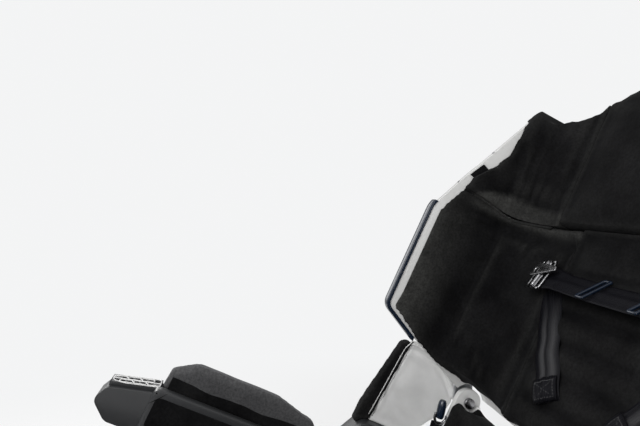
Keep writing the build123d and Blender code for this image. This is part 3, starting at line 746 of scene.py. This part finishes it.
def ribbon(name, path, facing, width, body, ridge=None, columns=12, painted_shine=None):
    """Strap of webbing along a path, its face toward one direction or one for each point."""
    if isinstance(facing, Vector):
        facing = [facing] * len(path)
    row = [column / columns - 0.5 for column in range(columns + 1)]
    section = [(across, 0.5) for across in row] + [(across, -0.5) for across in reversed(row)]
    rings, weave, wear_and_highlight = [], [], []
    run = 0.0
    for index, (place, way, out) in enumerate(zip(path, directions(path), facing)):
        side = way.cross(out).normalized()
        up = side.cross(way).normalized()
        run += (place - path[index - 1]).length if index else 0
        rings.append([])
        for across, level in section:
            where = (index / (len(path) - 1), across * 2)
            lift = ridge(*where) if ridge else 0
            lift += level * WEBBING_THICK * (0.5 if abs(across) == 0.5 else 1)
            rings[-1].append(place + (side * across * width + up * lift) / 1000)
            weave.append((across * width / 1000, run))
            # painted shine, where a function for it is handed in
            wear_and_highlight.append(painted_shine(*where) if painted_shine else 0)
    mesh = mesh_of(name, *skin(rings))
    layer = mesh.uv_layers.new(name="weave")
    for loop in mesh.loops:
        layer.data[loop.index].uv = weave[loop.vertex_index]
    mark(mesh, wear_and_highlight)
    return link(name, mesh, "black_webbing", body)


def rounded(corners, radius, steps=5):
    """Closed outline with round corners from 2-D corner points."""
    outline = []
    corners = [Vector(corner) for corner in corners]
    for here, before, after in zip(corners, corners[-1:] + corners, corners[1:] + corners[:1]):
        start = here + (before - here).normalized() * radius
        end = here + (after - here).normalized() * radius
        for step in range(steps + 1):
            t = step / steps
            outline.append((1 - t) ** 2 * start + 2 * t * (1 - t) * here + t ** 2 * end)
    return outline


def rectangle(width, height, radius, centre=(0, 0)):
    """Outline of a rectangle with round corners."""
    x, y = centre
    return rounded([(x + i * width / 2, y + j * height / 2) for i, j in ((-1, -1), (1, -1), (1, 1), (-1, 1))], radius)


def plate(name, outlines, thick, matrix, slot, body, edge):
    """Flat plate with holes from 2-D outlines, its edges rounded, set by a matrix."""
    curve = bpy.data.curves.new(name, "CURVE")
    curve.dimensions = "2D"
    curve.fill_mode = "BOTH"
    curve.extrude = (thick / 2 - edge) / 1000
    curve.bevel_depth = edge / 1000
    curve.bevel_resolution = 2
    curve.offset = -edge / 1000
    for outline in outlines:
        spline = curve.splines.new("POLY")
        spline.points.add(len(outline) - 1)
        for point, (x, y) in zip(spline.points, outline):
            point.co = (x / 1000, y / 1000, 0, 1)
        spline.use_cyclic_u = True
    holder = add_object(name + "_curve", curve)
    mesh = baked(holder)
    bpy.data.objects.remove(holder)
    mesh.transform(matrix)
    smooth(mesh)
    mesh.set_sharp_from_angle(angle=radians(35))
    return link(name, mesh, slot, body)


# Turns (forward, up) of the couch frame into its side plane
SIDE_PLANE = Matrix((OUT, UP, OUT.cross(UP))).transposed().to_4x4()


def side_plate(name, x, corners, radius, steps, thick, body):
    """Suede plate in a side plane, from (forward, up) corners."""
    outline = rounded(corners, radius, steps)
    plate(name, [outline], thick, Matrix.Translation(seat(x, 0, 0)) @ SIDE_PLANE, "black_suede", body, 0.8)


def turned(profile, sides=32, lobes=0, depth=0.0):
    """Points and faces of a (radius, height) profile turned round the Z axis, its rim waved by lobes if asked."""
    wave = [(1 + depth * cos(lobes * turn), turn) for turn in circle(sides)]
    return skin([
        [Vector((radius * wide * cos(turn), radius * wide * sin(turn), height)) / 1000 for wide, turn in wave]
        for radius, height in profile
    ])


def many(name, shape, matrices, slot, body):
    """One piece made of a small shape repeated at several places."""
    points, faces = [], []
    for matrix in matrices:
        base = len(points)
        points += [matrix @ Vector(point) for point in shape[0]]
        faces += [tuple(base + index for index in face) for face in shape[1]]
    mesh = mesh_of(name, points, faces)
    mesh.set_sharp_from_angle(angle=radians(35))
    return link(name, mesh, slot, body)


def swept(name, path, section, sign, slot):
    """Couch moulding: a closed (x, rise) section swept along a (forward, up) path of one side."""
    mesh = mesh_of(name, *skin([
        seats([(x, forward - way[1] * rise, up + way[0] * rise) for x, rise in section], sign)
        for (forward, up), way in zip(path, directions([Vector(place) for place in path]))
    ]))
    fix = bmesh.new()
    fix.from_mesh(mesh)
    bmesh.ops.recalc_face_normals(fix, faces=fix.faces)
    fix.to_mesh(mesh)
    fix.free()
    mesh.set_sharp_from_angle(angle=radians(40))
    link(name, mesh, slot, "couch")


def facing_at(place, out, ahead=UP):
    """Matrix that stands a shape's Z axis along a direction at a place."""
    z = Vector(out).normalized()
    x = Vector(ahead).cross(z)
    x = x.normalized() if x.length > 0.01 else z.orthogonal().normalized()
    return Matrix.Translation(place) @ Matrix((x, z.cross(x), z)).transposed().to_4x4()


def moved(matrix, x, y, z):
    """Matrix moved by millimetres along its own axes."""
    return matrix @ Matrix.Translation(Vector((x, y, z)) / 1000)


def strike(tree, start, way):
    """Where a line from a point meets a surface, and the surface's direction there."""
    return tree.ray_cast(start, way)[:2]


SCREW = turned([(4.2, -0.8), (4.2, 1.2), (3.8, 1.8), (2.1, 1.8), (1.9, 0.4), (0, 0.4)], 24)
STITCH = turned([(0.12, -1.6), (0.45, -0.8), (0.45, 0.8), (0.12, 1.6)], 6)
STITCH_PITCH = 4.5


def stitches(name, path, slot, body):
    """Row of thread stitches along a path."""
    matrices = []
    at = 0.0
    for start, end in zip(path, path[1:]):
        way = end - start
        if way.length == 0:
            continue
        while at < way.length:
            matrices.append(facing_at(start + way * (at / way.length), way, (0.3, 0.8, 0.5)))
            at += STITCH_PITCH / 1000
        at -= way.length
    many(name, STITCH, matrices, slot, body)


# Harness on the back

BACK_CUSHIONS = ("back_pad", "bolster_left", "bolster_right")
SEAT_CUSHIONS = ("seat_pad", "thigh_bolster_left", "thigh_bolster_right", "pelvis_pad")
STRAP_WIDTH = 47
STRAP_LIFT = 1.6
SHOULDER_TOP, SHOULDER_END = (168, 236), (62, 66)
CHEST_END, CHEST_UP = 176, 238
CHEST_TURN, ADJUSTER_TURN = radians(42), radians(14)


def on_back(x, up, lift, names=BACK_CUSHIONS):
    """Point just off the front of the back cushions at an x and up, in millimetres."""
    hits = [strike(pad_trees[name], seat(x, 300, up), IN)[0] for name in names]
    front = max((-(COUCH_BACK @ hit).y for hit in hits if hit is not None), default=0) * 1000
    return Vector((x, front + lift, up))


def on_seat(x, forward, lift):
    """Point just above the seat cushions at an x and forward, in millimetres."""
    hits = [strike(pad_trees[name], seat(x, forward, -60), -UP)[0] for name in SEAT_CUSHIONS]
    top = max((COUCH_BACK @ hit).z for hit in hits if hit is not None) * 1000
    return Vector((x, forward, top + lift))


def laid(point, start, end, steps, lift, axis, rounds):
    """Strap's path over cushions between two points, its low places lifted so that it bridges the channels."""
    path = [point(*(a + (b - a) * i / steps for a, b in zip(start, end)), lift) for i in range(steps + 1)]
    for _ in range(rounds):
        inner = [spot.copy() for spot in path[1:-1]]
        for spot, a, b, c in zip(inner, path, path[1:], path[2:]):
            spot[axis] = max(b[axis], (a[axis] + b[axis] + c[axis]) / 3)
        path = [path[0], *inner, path[-1]]
    return path


def satin(depth, ridges=3):
    """Lengthwise waves of a strap that has been drawn through its buckle."""
    def height(along, across):
        return depth * (1 - across ** 2) * (0.6 + 0.4 * cos(ridges * pi * across + 1.5 * along))
    return height


def painted_strap_shine(along, across):
    """Painted shine: paler colour on two of a strap's waves, between its buckle and its end."""
    waves = exp(-((across + 0.5) / 0.26) ** 2) + 0.8 * exp(-((across - 0.3) / 0.22) ** 2)
    return waves * fade(along, 0.16, 0.50) * fade(along, 0.92, 0.86)


def turned_out(turn, x=0):
    """Direction off the backrest, turned toward its top."""
    return toward(x, cos(turn), sin(turn))


for side, sign in SIDES:
    # shoulder strap: down over the cushion, its end folded back and sewn
    (top_x, top_up), (end_x, end_up) = SHOULDER_TOP, SHOULDER_END
    spots = laid(on_back, (sign * top_x, top_up), (sign * end_x, end_up), 24, STRAP_LIFT, 1, 3)
    # painted shine: paler colour on two of the strap's waves toward its end
    strap = ribbon(f"shoulder_webbing_{side}", seats(spots), OUT, STRAP_WIDTH, "back", satin(3.5), 20, painted_strap_shine)
    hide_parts(f"shoulder_strap_{side}")
    hem = [seat(spot.x, spot.y + 4.4, spot.z) for spot in spots[-5:]]
    ribbon(f"shoulder_hem_{side}", hem, OUT, STRAP_WIDTH * 0.97, "back", satin(3.4))

# Chest strap: its top edge tucked into a channel, its lower edge standing off the cushion
spots = laid(on_back, (CHEST_END, CHEST_UP), (-CHEST_END, CHEST_UP), 60, STRAP_LIFT + 11, 1, 3)
chest_out = turned_out(CHEST_TURN)
path, out = [], []
for step, (x, forward, up) in enumerate(spots):
    slack = 2.5 * sin(pi * (CHEST_END - x) / (2 * CHEST_END) * 3) ** 2
    path.append(seat(x, forward + slack, up - 5 * cos(pi * x / (2 * CHEST_END))))
    share = min(1, min(step, len(spots) - 1 - step) / 9)
    out.append(turned_out(ADJUSTER_TURN + (CHEST_TURN - ADJUSTER_TURN) * share))
strap = ribbon("chest_webbing", path, out, STRAP_WIDTH, "back", satin(3, 2))
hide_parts("chest_strap")

for side, sign in SIDES:
    # short run from the hollow in the bolster to the adjuster
    root = on_back(sign * 203, 246, -24, ("back_pad", f"bolster_{side}"))
    knee = on_back(sign * 194, 244, 4, (f"bolster_{side}",))
    near = spots[0] if sign > 0 else spots[-1]
    path = seats(on_path([root, knee, near + Vector((0, 3, 0))], 6))
    out = [turned_out(ADJUSTER_TURN * step / (len(path) - 1), -sign * 0.3) for step in range(len(path))]
    ribbon(f"anchor_webbing_{side}", path, out, STRAP_WIDTH * 0.9, "back")

    # bright adjuster: a three-bar slide under a wedge-shaped lever with an eye
    rise = toward(0, -sin(ADJUSTER_TURN), cos(ADJUSTER_TURN))
    stand = facing_at(seat(sign * 170, near.y + 4, CHEST_UP + 1), turned_out(ADJUSTER_TURN, sign * 0.05), rise)
    outlines = [rectangle(36, 56, 8), rectangle(7, 48, 3, (-9.5, 0)), rectangle(7, 48, 3, (9.5, 0))]
    slide = plate(f"adjuster_{side}", outlines, 4.2, stand, "bright_steel", "back", 1.4)
    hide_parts(f"strap_tongue_{side}")
    bar = [moved(stand, 0, y, 2.6).translation for y in (-25, -12, 0, 12, 25)]
    tube(f"adjuster_bar_{side}", on_path(bar, 3), 3.4, "bright_steel", "back", 12)
    wedge = rounded([(sign * 13, -14), (sign * 13, 15), (sign * -32, 14), (sign * -34, 6)], 3.6)
    lean = moved(stand, 0, 3, 8) @ Matrix.Rotation(sign * radians(-6), 4, "Y")
    eye = rectangle(9.5, 9.5, 4.7, (sign * 3, -1))
    plate(f"adjuster_tab_{side}", [wedge, eye], 3, lean, "bright_steel", "back", 1.2)
    for letter, end in (("a", -26.2), ("b", 26.2)):
        post = [moved(stand, x, end, 1.2).translation for x in (-16, -5, 5, 16)]
        tube(f"adjuster_post_{side}_{letter}", on_path(post, 3), 2.4, "bright_steel", "back", 10)

    # second fitting further in: a small dark loop
    mid = min(spots, key=lambda spot: abs(spot.x - sign * 48))
    loop = facing_at(seat(mid.x, mid.y + 2, mid.z - 4) + chest_out * 0.004, chest_out)
    outlines = [rectangle(17, 53, 4), rectangle(7.5, 46, 2)]
    plate(f"strap_loop_{side}", outlines, 3.4, loop, "blue_black_gloss", "back", 1.2)

# Behind the shell each strap runs from its slot over the upright into the reel
REEL_RUN = [(202, -62), (201, -72), (193, -78), (165, -86), (132, -104), (118, -108.4), (98, -108.8), (90, -108.8)]
for side, sign in SIDES:
    path = on_path(seats([(x, forward, HARNESS_SLOT[1]) for x, forward in REEL_RUN], sign), 5)
    out = [toward(sign, 0, 0) if step < 6 else IN for step in range(len(path))]
    ribbon(f"reel_webbing_{side}", path, out, STRAP_WIDTH, "back", satin(1.2, 2))

# Belt hooks over the pan's rim beside the hips: a dark barrel, a bright hook, a short strap
HOOK_X = 292
HOOK_BEND = [(19, -62), (17, -72), (10, -79), (1, -77), (-4, -69), (-3, -61)]
HOOK_HANG = [(9, -76), (7, -90), (5, -104), (3, -118)]
BARREL = turned([(3.5, 0), (6.2, 1), (7.4, 4), (7.8, 12), (7.8, 24), (7, 31), (5, 34.5), (2, 35.5)], 28)
for side, sign in SIDES:
    stand = facing_at(seat(sign * HOOK_X, 8, -70), toward(0, 0.22, 1), (1, 0, 0))
    many(f"hook_barrel_{side}", BARREL, [stand], "blue_black_gloss", "couch")
    bend, hang = (on_path(seats([(HOOK_X, *spot) for spot in run], sign), 6) for run in (HOOK_BEND, HOOK_HANG))
    tube(f"hook_bend_{side}", bend, 2.6, "bright_steel", "couch", 12)
    ribbon(f"hook_webbing_{side}", hang, toward(sign, 0, 0), 24, "couch")

# Tongue of suede that crosses the bare rim at its notch
(low_ahead, low_up), (high_ahead, high_up) = RIM_LOW, RIM_HIGH
TONGUE = [
    (low_ahead - 2.6, low_up + 1), (high_ahead - 2.6, high_up - 0.5), (high_ahead - 24, high_up - 9),
    (low_ahead - 34, low_up - 6),
]
for side, sign in SIDES:
    side_plate(f"notch_tongue_{side}", sign * 292.2, TONGUE, 1.2, 3, 3, "back")

# Welt sewn into the seam under the head cushions, marked with the crescent's painted highlight
for side, sign in SIDES:
    outward = toward(sign, 0, 0)
    spots = []
    for forward in range(150, -34, -8):
        up = LEDGE_UP + 0.5 - LEDGE_DIP * float(swayed(forward))
        hit = strike(pad_trees[f"bolster_{side}"], seat(sign * 150, forward, up - 3), outward)[0]
        if hit is not None:
            spots.append(hit + outward * 0.0012 + UP * 0.003)
    welt = tube(f"head_welt_{side}", on_path(spots, 3), 2.6, "black_suede", "back")
    # painted highlight: the crescent's paler mark, at 0.7, lightens the welt's dark line
    mark(welt.data, 0.7 * painted_crescent_highlight(couch_places(welt.data)))


# Belts and buckle on the seat cushion

BUCKLE_FORWARD = 205
buckle = facing_at(seat(*on_seat(0, BUCKLE_FORWARD, 4.5)), UP, OUT)
case = many("buckle_case", turned([
    (34, 0), (37, 2), (37.5, 8), (36.8, 12.5), (34.5, 15.5), (32, 16), (31, 14.5), (0, 14.5)
], 64), [buckle], "dark_grey_moulding", "couch")
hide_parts("harness_buckle")
many("buckle_ring", turned([
    (30, 14), (30.2, 17.2), (28.8, 18.2), (25.5, 18.2), (24.5, 17.2), (24.3, 14)
], 64), [buckle], "bright_steel", "couch")
many("buckle_knob", turned([
    (19.5, 14), (20, 18), (19, 20.5), (16, 21.2), (6, 20.6), (0, 20.4)
], 72, 3, 0.10), [buckle], "blue_black_gloss", "couch")
rivets = [moved(buckle, 27.2 * cos(a), 27.2 * sin(a), 17.6) @ Matrix.Scale(0.45, 4) for a in (0.6, 2.2, 3.8, 5.3)]
many("buckle_rivets", SCREW, rivets, "frame_metal", "couch")


def tongue(name, x, forward, reach, width):
    """Bright tongue that enters the buckle from a direction in the plane of the seat."""
    stand = moved(buckle, 0, 0, 6.5)
    along = (stand.to_3x3().inverted() @ toward(x, forward, 0)).normalized()
    half = width / 2
    outline = rounded([
        (26, -10.5), (reach - 14, -half), (reach, -half), (reach, half), (reach - 14, half), (26, 10.5)
    ], 3)
    hole = rectangle(5.5, width - 10, 2, (reach - 8, 0))
    turn = Matrix.Rotation(np.arctan2(along.y, along.x), 4, "Z")
    plate(name, [outline, hole], 2.6, stand @ turn, "bright_steel", "couch", 0.8)


LAP_START, LAP_END = (181, 62), (44, 188)        # x and forward
for side, sign in SIDES:
    span = Vector((sign * (LAP_START[0] - LAP_END[0]), LAP_START[1] - LAP_END[1])).normalized()
    tongue(f"lap_tongue_{side}", span.x, span.y, 62, 50)
    near = (span.x * 52, BUCKLE_FORWARD + span.y * 52)
    spots = laid(on_seat, (sign * LAP_START[0], LAP_START[1]), near, 26, STRAP_LIFT + 0.8, 2, 6)
    belt = ribbon(f"lap_webbing_{side}", seats(spots), toward(0, 0.1, 1), STRAP_WIDTH, "couch", satin(2.6))
    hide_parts(f"lap_belt_{side}")
    grip = facing_at(seat(*(spots[9] + Vector((0, 0, 4)))), UP, toward(-span.y, span.x, 0))
    outlines = [rectangle(30, 58, 6), rectangle(6.5, 49, 2, (-7.5, 0)), rectangle(6.5, 49, 2, (7.5, 0))]
    plate(f"lap_slide_{side}", outlines, 3, grip, "bright_steel", "couch", 1)

tongue("crotch_tongue", 0, 1, 56, 40)
spots = laid(on_seat, (0, BUCKLE_FORWARD + 48), (0, 392), 26, STRAP_LIFT + 0.6, 2, 6)
spots += [spots[-1] + Vector((0, 5, -4)), spots[-1] + Vector((0, 7, -12))]
belt = ribbon("crotch_webbing", seats(spots), toward(0, 0.6, 1), 40, "couch", satin(2.2))
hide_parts("crotch_strap")

# Sewn boxes on the strap ends: a rectangle and its diagonals, across and along the strap
BOX = [(-18, -2), (18, -2), (18, 22), (-18, 22), (-18, -2), (18, 22), (-18, 22), (18, -2)]
for side, sign in SIDES:
    hem_tree = tree_of(bpy.data.objects[f"shoulder_hem_{side}"])
    low = Vector((sign * (SHOULDER_END[0] + 3), 0, SHOULDER_END[1] + 5))
    run = Vector((sign * (SHOULDER_TOP[0] - SHOULDER_END[0]), 0, SHOULDER_TOP[1] - SHOULDER_END[1])).normalized()
    spots = [low + Vector((run.z, 0, -run.x)) * across + run * along for across, along in BOX]
    fine = []
    for begin, finish in zip(spots, spots[1:]):
        for step in range(8):
            spot = begin + (finish - begin) * step / 8
            hit = strike(hem_tree, seat(spot.x, 200, spot.z), IN)[0]
            if hit is not None:
                fine.append(hit + OUT * 0.0002)
    stitches(f"hem_stitches_{side}", fine, "grey_suede", "back")

# Armrests: pale lips round the grille's slots, close enough to read as one lattice
NOSE_START, NOSE_TOP = 455, -205
GRILLE_START, GRILLE_SLOPE, GRILLE_MID_X, GRILLE_THICK = 492, radians(14), 324.15, 6
SLOT_LENGTH, SLOT_WIDTH, SLOT_PITCH, ROW_PITCH, SLOT_FIRST = 19, 9, 23, 14, 13
rims = {"frame": (rounded([(2, -16.4), (62, -16.4), (81, -7), (81, 7), (62, 16.4), (2, 16.4)], 6), 0.8)}
for letter, row, shift in (("a", -0.5, 0), ("b", 0.5, SLOT_PITCH / 2)):
    for column in range(3):
        middle = (SLOT_FIRST + shift + column * SLOT_PITCH, row * ROW_PITCH)
        rims[f"{letter}{column}"] = (rectangle(SLOT_LENGTH + 2, SLOT_WIDTH + 2, 3.6, middle), 0.9)
for side, sign in SIDES:
    for name, (ring, radius) in rims.items():
        path = []
        for run, across in ring:
            forward = GRILLE_START + run * cos(GRILLE_SLOPE) + GRILLE_THICK * sin(GRILLE_SLOPE)
            up = NOSE_TOP - (forward - NOSE_START) * sin(GRILLE_SLOPE) / cos(GRILLE_SLOPE)
            path.append(seat(sign * (GRILLE_MID_X + across), forward, up + GRILLE_THICK / cos(GRILLE_SLOPE) + 0.5))
        tube(f"slot_rim_{side}_{name}", path, radius, "pale_grey_panel", "couch", closed=True)

# Pan walls beside the thighs: a moulded cap over the rim and a suede liner under it; and the
# armrests' troughs, whose black suede floor climbs up the ridge's lower face as painted shade of the trough
RIM_PATH = [
    (96, -181.5), (128, -191.6), (150, -198.6), (170, -203.2), (190, -205), (300, -205), (470, -205), (490, -205),
    (497, -206.2), (500, -209.5), (500.8, -217), (500.8, -262), (500.8, -290)
]
CAP_SECTION = [
    (284.8, -13), (284.5, -1.8), (285.3, 0.6), (287, 1.5), (301.5, 1.2), (302.9, 0.2), (303.2, -2), (303.2, -16),
    (300.4, -16), (299.8, 0.1), (285.9, 0.1), (285.9, -13)
]
LINER = [(104, -268), (98, -193), (130, -203), (172, -215), (488, -215), (494, -222), (494, -268)]
TROUGH_RUN = [(forward, 0) for forward in range(186, 490, 8)]
TROUGH_SECTION = [
    (303.8, -219.5), (309, -218), (314, -213), (318, -204), (320.6, -193), (321.6, -189), (322.4, -193),
    (322.4, -221.6), (303.8, -221.6)
]
for side, sign in SIDES:
    swept(f"pan_cap_{side}", RIM_PATH, CAP_SECTION, sign, "dark_grey_moulding")
    side_plate(f"pan_liner_{side}", sign * 285.2, LINER, 6, 4, 2.2, "couch")
    # the trough's black suede climbs the ridge's lower face: painted shade of the trough
    swept(f"arm_trough_{side}", TROUGH_RUN, TROUGH_SECTION, sign, "black_suede")

# Hip panels: white piping over the top and down both edges, a padded roll over the top, and a
# dark and a white cord down the front; the dark cord is painted shade of the gap before the piping
HIP_EDGE = [
    (-19, -34), (-17, -14), (-6, 4), (22, 22), (60, 35), (88, 40), (103, 36), (108, 22), (110, 0), (114, -50),
    (120, -118)
]
HIP_FRONT = [(103, 37), (110, 20), (112.5, 0), (116.5, -50), (122.5, -118)]
for side, sign in SIDES:
    for layer, x in (("inner", HIP_INNER), ("outer", HIP_OUTER)):
        pressed = []
        for place in on_path(seats([(x, *spot) for spot in HIP_EDGE], sign), 6):
            spot, normal, _, _ = pad_trees[f"hip_panel_{side}"].find_nearest(place)
            pressed.append(spot + normal * 0.0008)
        tube(f"hip_piping_{layer}_{side}", on_path(pressed[::3] + [pressed[-1]], 4), 1.9, "white_shell", "couch")
    hem = []
    for step in range(25):
        share = step / 24
        out = HIP_BOW * sin(pi * share) - 3.2
        hem.append((319.6, *(a + (b - a) * share + way * out for a, b, way in zip(HIP_TOP, HIP_REAR, HIP_OUT))))
    tube(f"hip_hem_{side}", seats(hem, sign), 3.6, "pale_grey_panel", "couch", 12)
    # the black cord is painted shade in the gap before the piping
    for ahead, x, radius, slot in ((2.6, 316.8, 1.4, "black_webbing"), (4.8, 315.6, 0.8, "white_shell")):
        path = on_path(seats([(x, forward + ahead, up) for forward, up in HIP_FRONT], sign), 6)
        tube(f"hip_cord_{slot}_{side}", path, radius, slot, "couch")

# Pin caps: backrest bolts, knee and ankle; then the tilt shaft's bearings
CAP = turned([(12.5, 0), (12.5, 2.2), (11.3, 3.4), (6.2, 3.4), (5.8, 1.2), (0, 1.2)])
for name, place, scale, body in (
    ("fold_caps", (314.4, -29, -21), 1, "couch"), ("knee_caps", (303.1, 530, -405), 1, "couch"),
    ("ankle_caps", (284.2, 584, -762), 0.85, "foot_rest"),
):
    stands = [facing_at(*seats([place], sign), (sign, 0, 0)) @ Matrix.Scale(scale, 4) for _, sign in SIDES]
    many(name, CAP, stands, "bright_steel", body)
BEARING = turned([(34, 0), (34, 4), (31, 7), (24, 7), (21.5, 9.5), (19.5, 9.5), (19.2, 6)], 48)
tilt_centre = seat(0, 200, -490)
for side, sign in SIDES:
    for face, start, way in (("out", 0.2151, sign), ("in", 0.1949, -sign)):
        stand = facing_at((sign * start, *tilt_centre.yz), (way, 0, 0), (0, 0, 1))
        many(f"bearing_{face}_{side}", BEARING, [stand], "rail_metal", "base")
        quarters = [stand @ Matrix.Rotation(pi / 4 + k * pi / 2, 4, "Z") for k in range(4)]
        bolts = [moved(quarter, 28.5, 0, 6.8) @ Matrix.Scale(0.6, 4) for quarter in quarters]
        many(f"bearing_bolts_{face}_{side}", SCREW, bolts, "bright_steel", "base")


def screws(name, node, body, spots, way, scale):
    """Screw heads on a CAD node, mirrored to the other side, where lines along a direction meet it."""
    tree = search_tree([node])
    stands = []
    for spot in spots:
        hit, normal = strike(tree, spot, way)
        if hit is None:
            continue
        if normal.dot(way) > 0:
            normal = -normal
        for flip in (Vector((1, 1, 1)), Vector((-1, 1, 1))):
            stands.append(facing_at(hit * flip, normal * flip, (0.3, 0.2, 0.9)) @ Matrix.Scale(scale, 4))
    many(name, SCREW, stands, "bright_steel", body)


# Name, node, body, where the lines start, their direction, scale
SCREWS = [
    ("rim_screws", "back_shell", "back", [(300, 320, up) for up in (112, 196, 268, 342, 420)], IN, 0.62),
    ("shell_side_screws", "back_shell", "back", [
        (420, 60, 170), (420, 60, 300), (420, 60, 430), (420, 130, 120), (420, 130, 250)
    ], INBOARD, 0.8),
    ("rear_screws", "back_shell", "back", [
        (x, -300, up) for up in (60, 180, 330, 470) for x in (60, 160, 232)
    ], OUT, 0.9),
    ("upright_screws", "back_upright_left", "back", [(108, -300, up) for up in (70, 130, 260, 340, 410)], OUT, 0.9),
    ("reel_screws", "harness_reel", "back", [(x, -300, up) for up in (216, 264) for x in (28, 82)], OUT, 0.8),
    ("hinge_arm_screws", "hinge_arm_left", "back", [(420, 14, 40), (420, 12, 74)], INBOARD, 1.0),
    ("pan_screws", "pan_shell", "couch", [
        (420, 60, -250), (420, 150, -250), (420, 260, -250), (420, 370, -250), (420, 460, -250), (420, 20, -360),
        (420, 180, -380), (420, 330, -380), (420, 470, -360)
    ], INBOARD, 0.9),
    ("leg_screws", "leg_shell", "leg_rest", [(420, 545, up) for up in (-480, -560, -640, -715)], INBOARD, 0.9),
    ("leg_rear_screws", "leg_shell", "leg_rest", [
        (x, 300, up) for up in (-470, -600, -720) for x in (80, 210)
    ], OUT, 0.9),
]
for name, node, body, spots, way, scale in SCREWS:
    screws(name, node, body, seats(spots), way, scale)
spots = [Vector((0.4, y, 0.055)) for y in (-0.31, -0.27, 0.00, 0.02)]
screws("stanchion_screws", "stanchion_left", "base", spots, INBOARD, 1.1)

# Foot plate: grip strips across the tread
TREAD_UP = -772
strip = turned([(0.1, -500), (2.4, -496), (2.4, 496), (0.1, 500)], 10)
flat = Matrix.Diagonal((1, 1, 0.42, 1))
strips = [facing_at(seat(0, forward, TREAD_UP), (1, 0, 0)) @ flat for forward in range(720, 832, 14)]
many("tread_strips", strip, strips, "dark_grey_moulding", "foot_rest")


# Stage: pale floor and soft light
BACKDROP = (0.90, 0.905, 0.91, 1)
HALF_FLOOR = 60
NEAR_FLOOR, FAR_FLOOR = 0.9, 2.6      # metres from the part over which the floor turns into the backdrop
SKY = [(0.0, 0.55), (0.46, 0.30), (0.60, 0.42), (0.80, 1.0)]    # share from nadir to zenith, grey


def show_backdrop(tree, kind, output, shader, share):
    """Let the camera see a plain backdrop instead of a shader, by a share."""
    seen = product(tree, share, add(tree, "LightPath").outputs["Is Camera Ray"])
    plain = add(tree, kind, {"Color": BACKDROP, "Strength": 1.0})
    blend = add(tree, "MixShader", {"Fac": seen, 1: shader.outputs[0], 2: plain.outputs[0]})
    feed(tree, tree.nodes[output], {"Surface": blend.outputs[0]})


corners = [(i * HALF_FLOOR, j * HALF_FLOOR, 0) for i, j in ((-1, -1), (1, -1), (1, 1), (-1, 1))]
floor_mesh = bpy.data.meshes.new("floor")
floor_mesh.from_pydata(corners, [], [(0, 1, 2, 3)])
floor = add_object("floor", floor_mesh)
material, tree, shader = new_material("floor")
feed(tree, shader, {"Base Color": (0.80, 0.80, 0.80, 1), "Roughness": 0.8})
reach = add(tree, "VectorMath", {0: add(tree, "TexCoord").outputs["Object"]}, operation="LENGTH").outputs["Value"]
span = {"From Min": NEAR_FLOOR, "From Max": FAR_FLOOR, "Value": reach}
far = add(tree, "MapRange", span, interpolation_type="SMOOTHSTEP").outputs["Result"]
show_backdrop(tree, "Emission", "Material Output", shader, far)
floor.data.materials.append(material)

world = bpy.data.worlds.new("studio")
bpy.context.scene.world = world
world.use_nodes = True
tree = world.node_tree
parts = add(tree, "SeparateXYZ", {0: add(tree, "TexCoord").outputs["Generated"]})
height = add(tree, "MapRange", {"From Min": -1, "Value": parts.outputs["Z"]}).outputs["Result"]
background = tree.nodes["Background"]
feed(tree, background, {"Strength": 0.62, "Color": ramp(tree, height, SKY)})
show_backdrop(tree, "Background", "World Output", background, 1.0)

# Name, place, aim, size in metres, watts
LAMPS = [
    ("key", (1.6, -2.2, 2.6), (0, 0, 0.8), 1.6, 60),
    ("fill", (-2.4, -1.2, 1.8), (0, 0, 0.7), 2.0, 28),
    ("rear", (0.6, 2.6, 2.4), (0, 0.2, 0.8), 1.6, 36),
    ("beside", (2.0, -0.6, 1.5), (-0.2, 0, 0.8), 1.7, 13),
]
for name, place, aim, size, watts in LAMPS:
    lamp_data = bpy.data.lights.new(name, "AREA")
    lamp_data.size = size
    lamp_data.energy = watts
    lamp = add_object(name, lamp_data)
    lamp.location = place
    lamp.rotation_mode = "QUATERNION"
    lamp.rotation_quaternion = (Vector(aim) - Vector(place)).to_track_quat("-Z", "Y")

bpy.context.scene.view_settings.view_transform = "Standard"
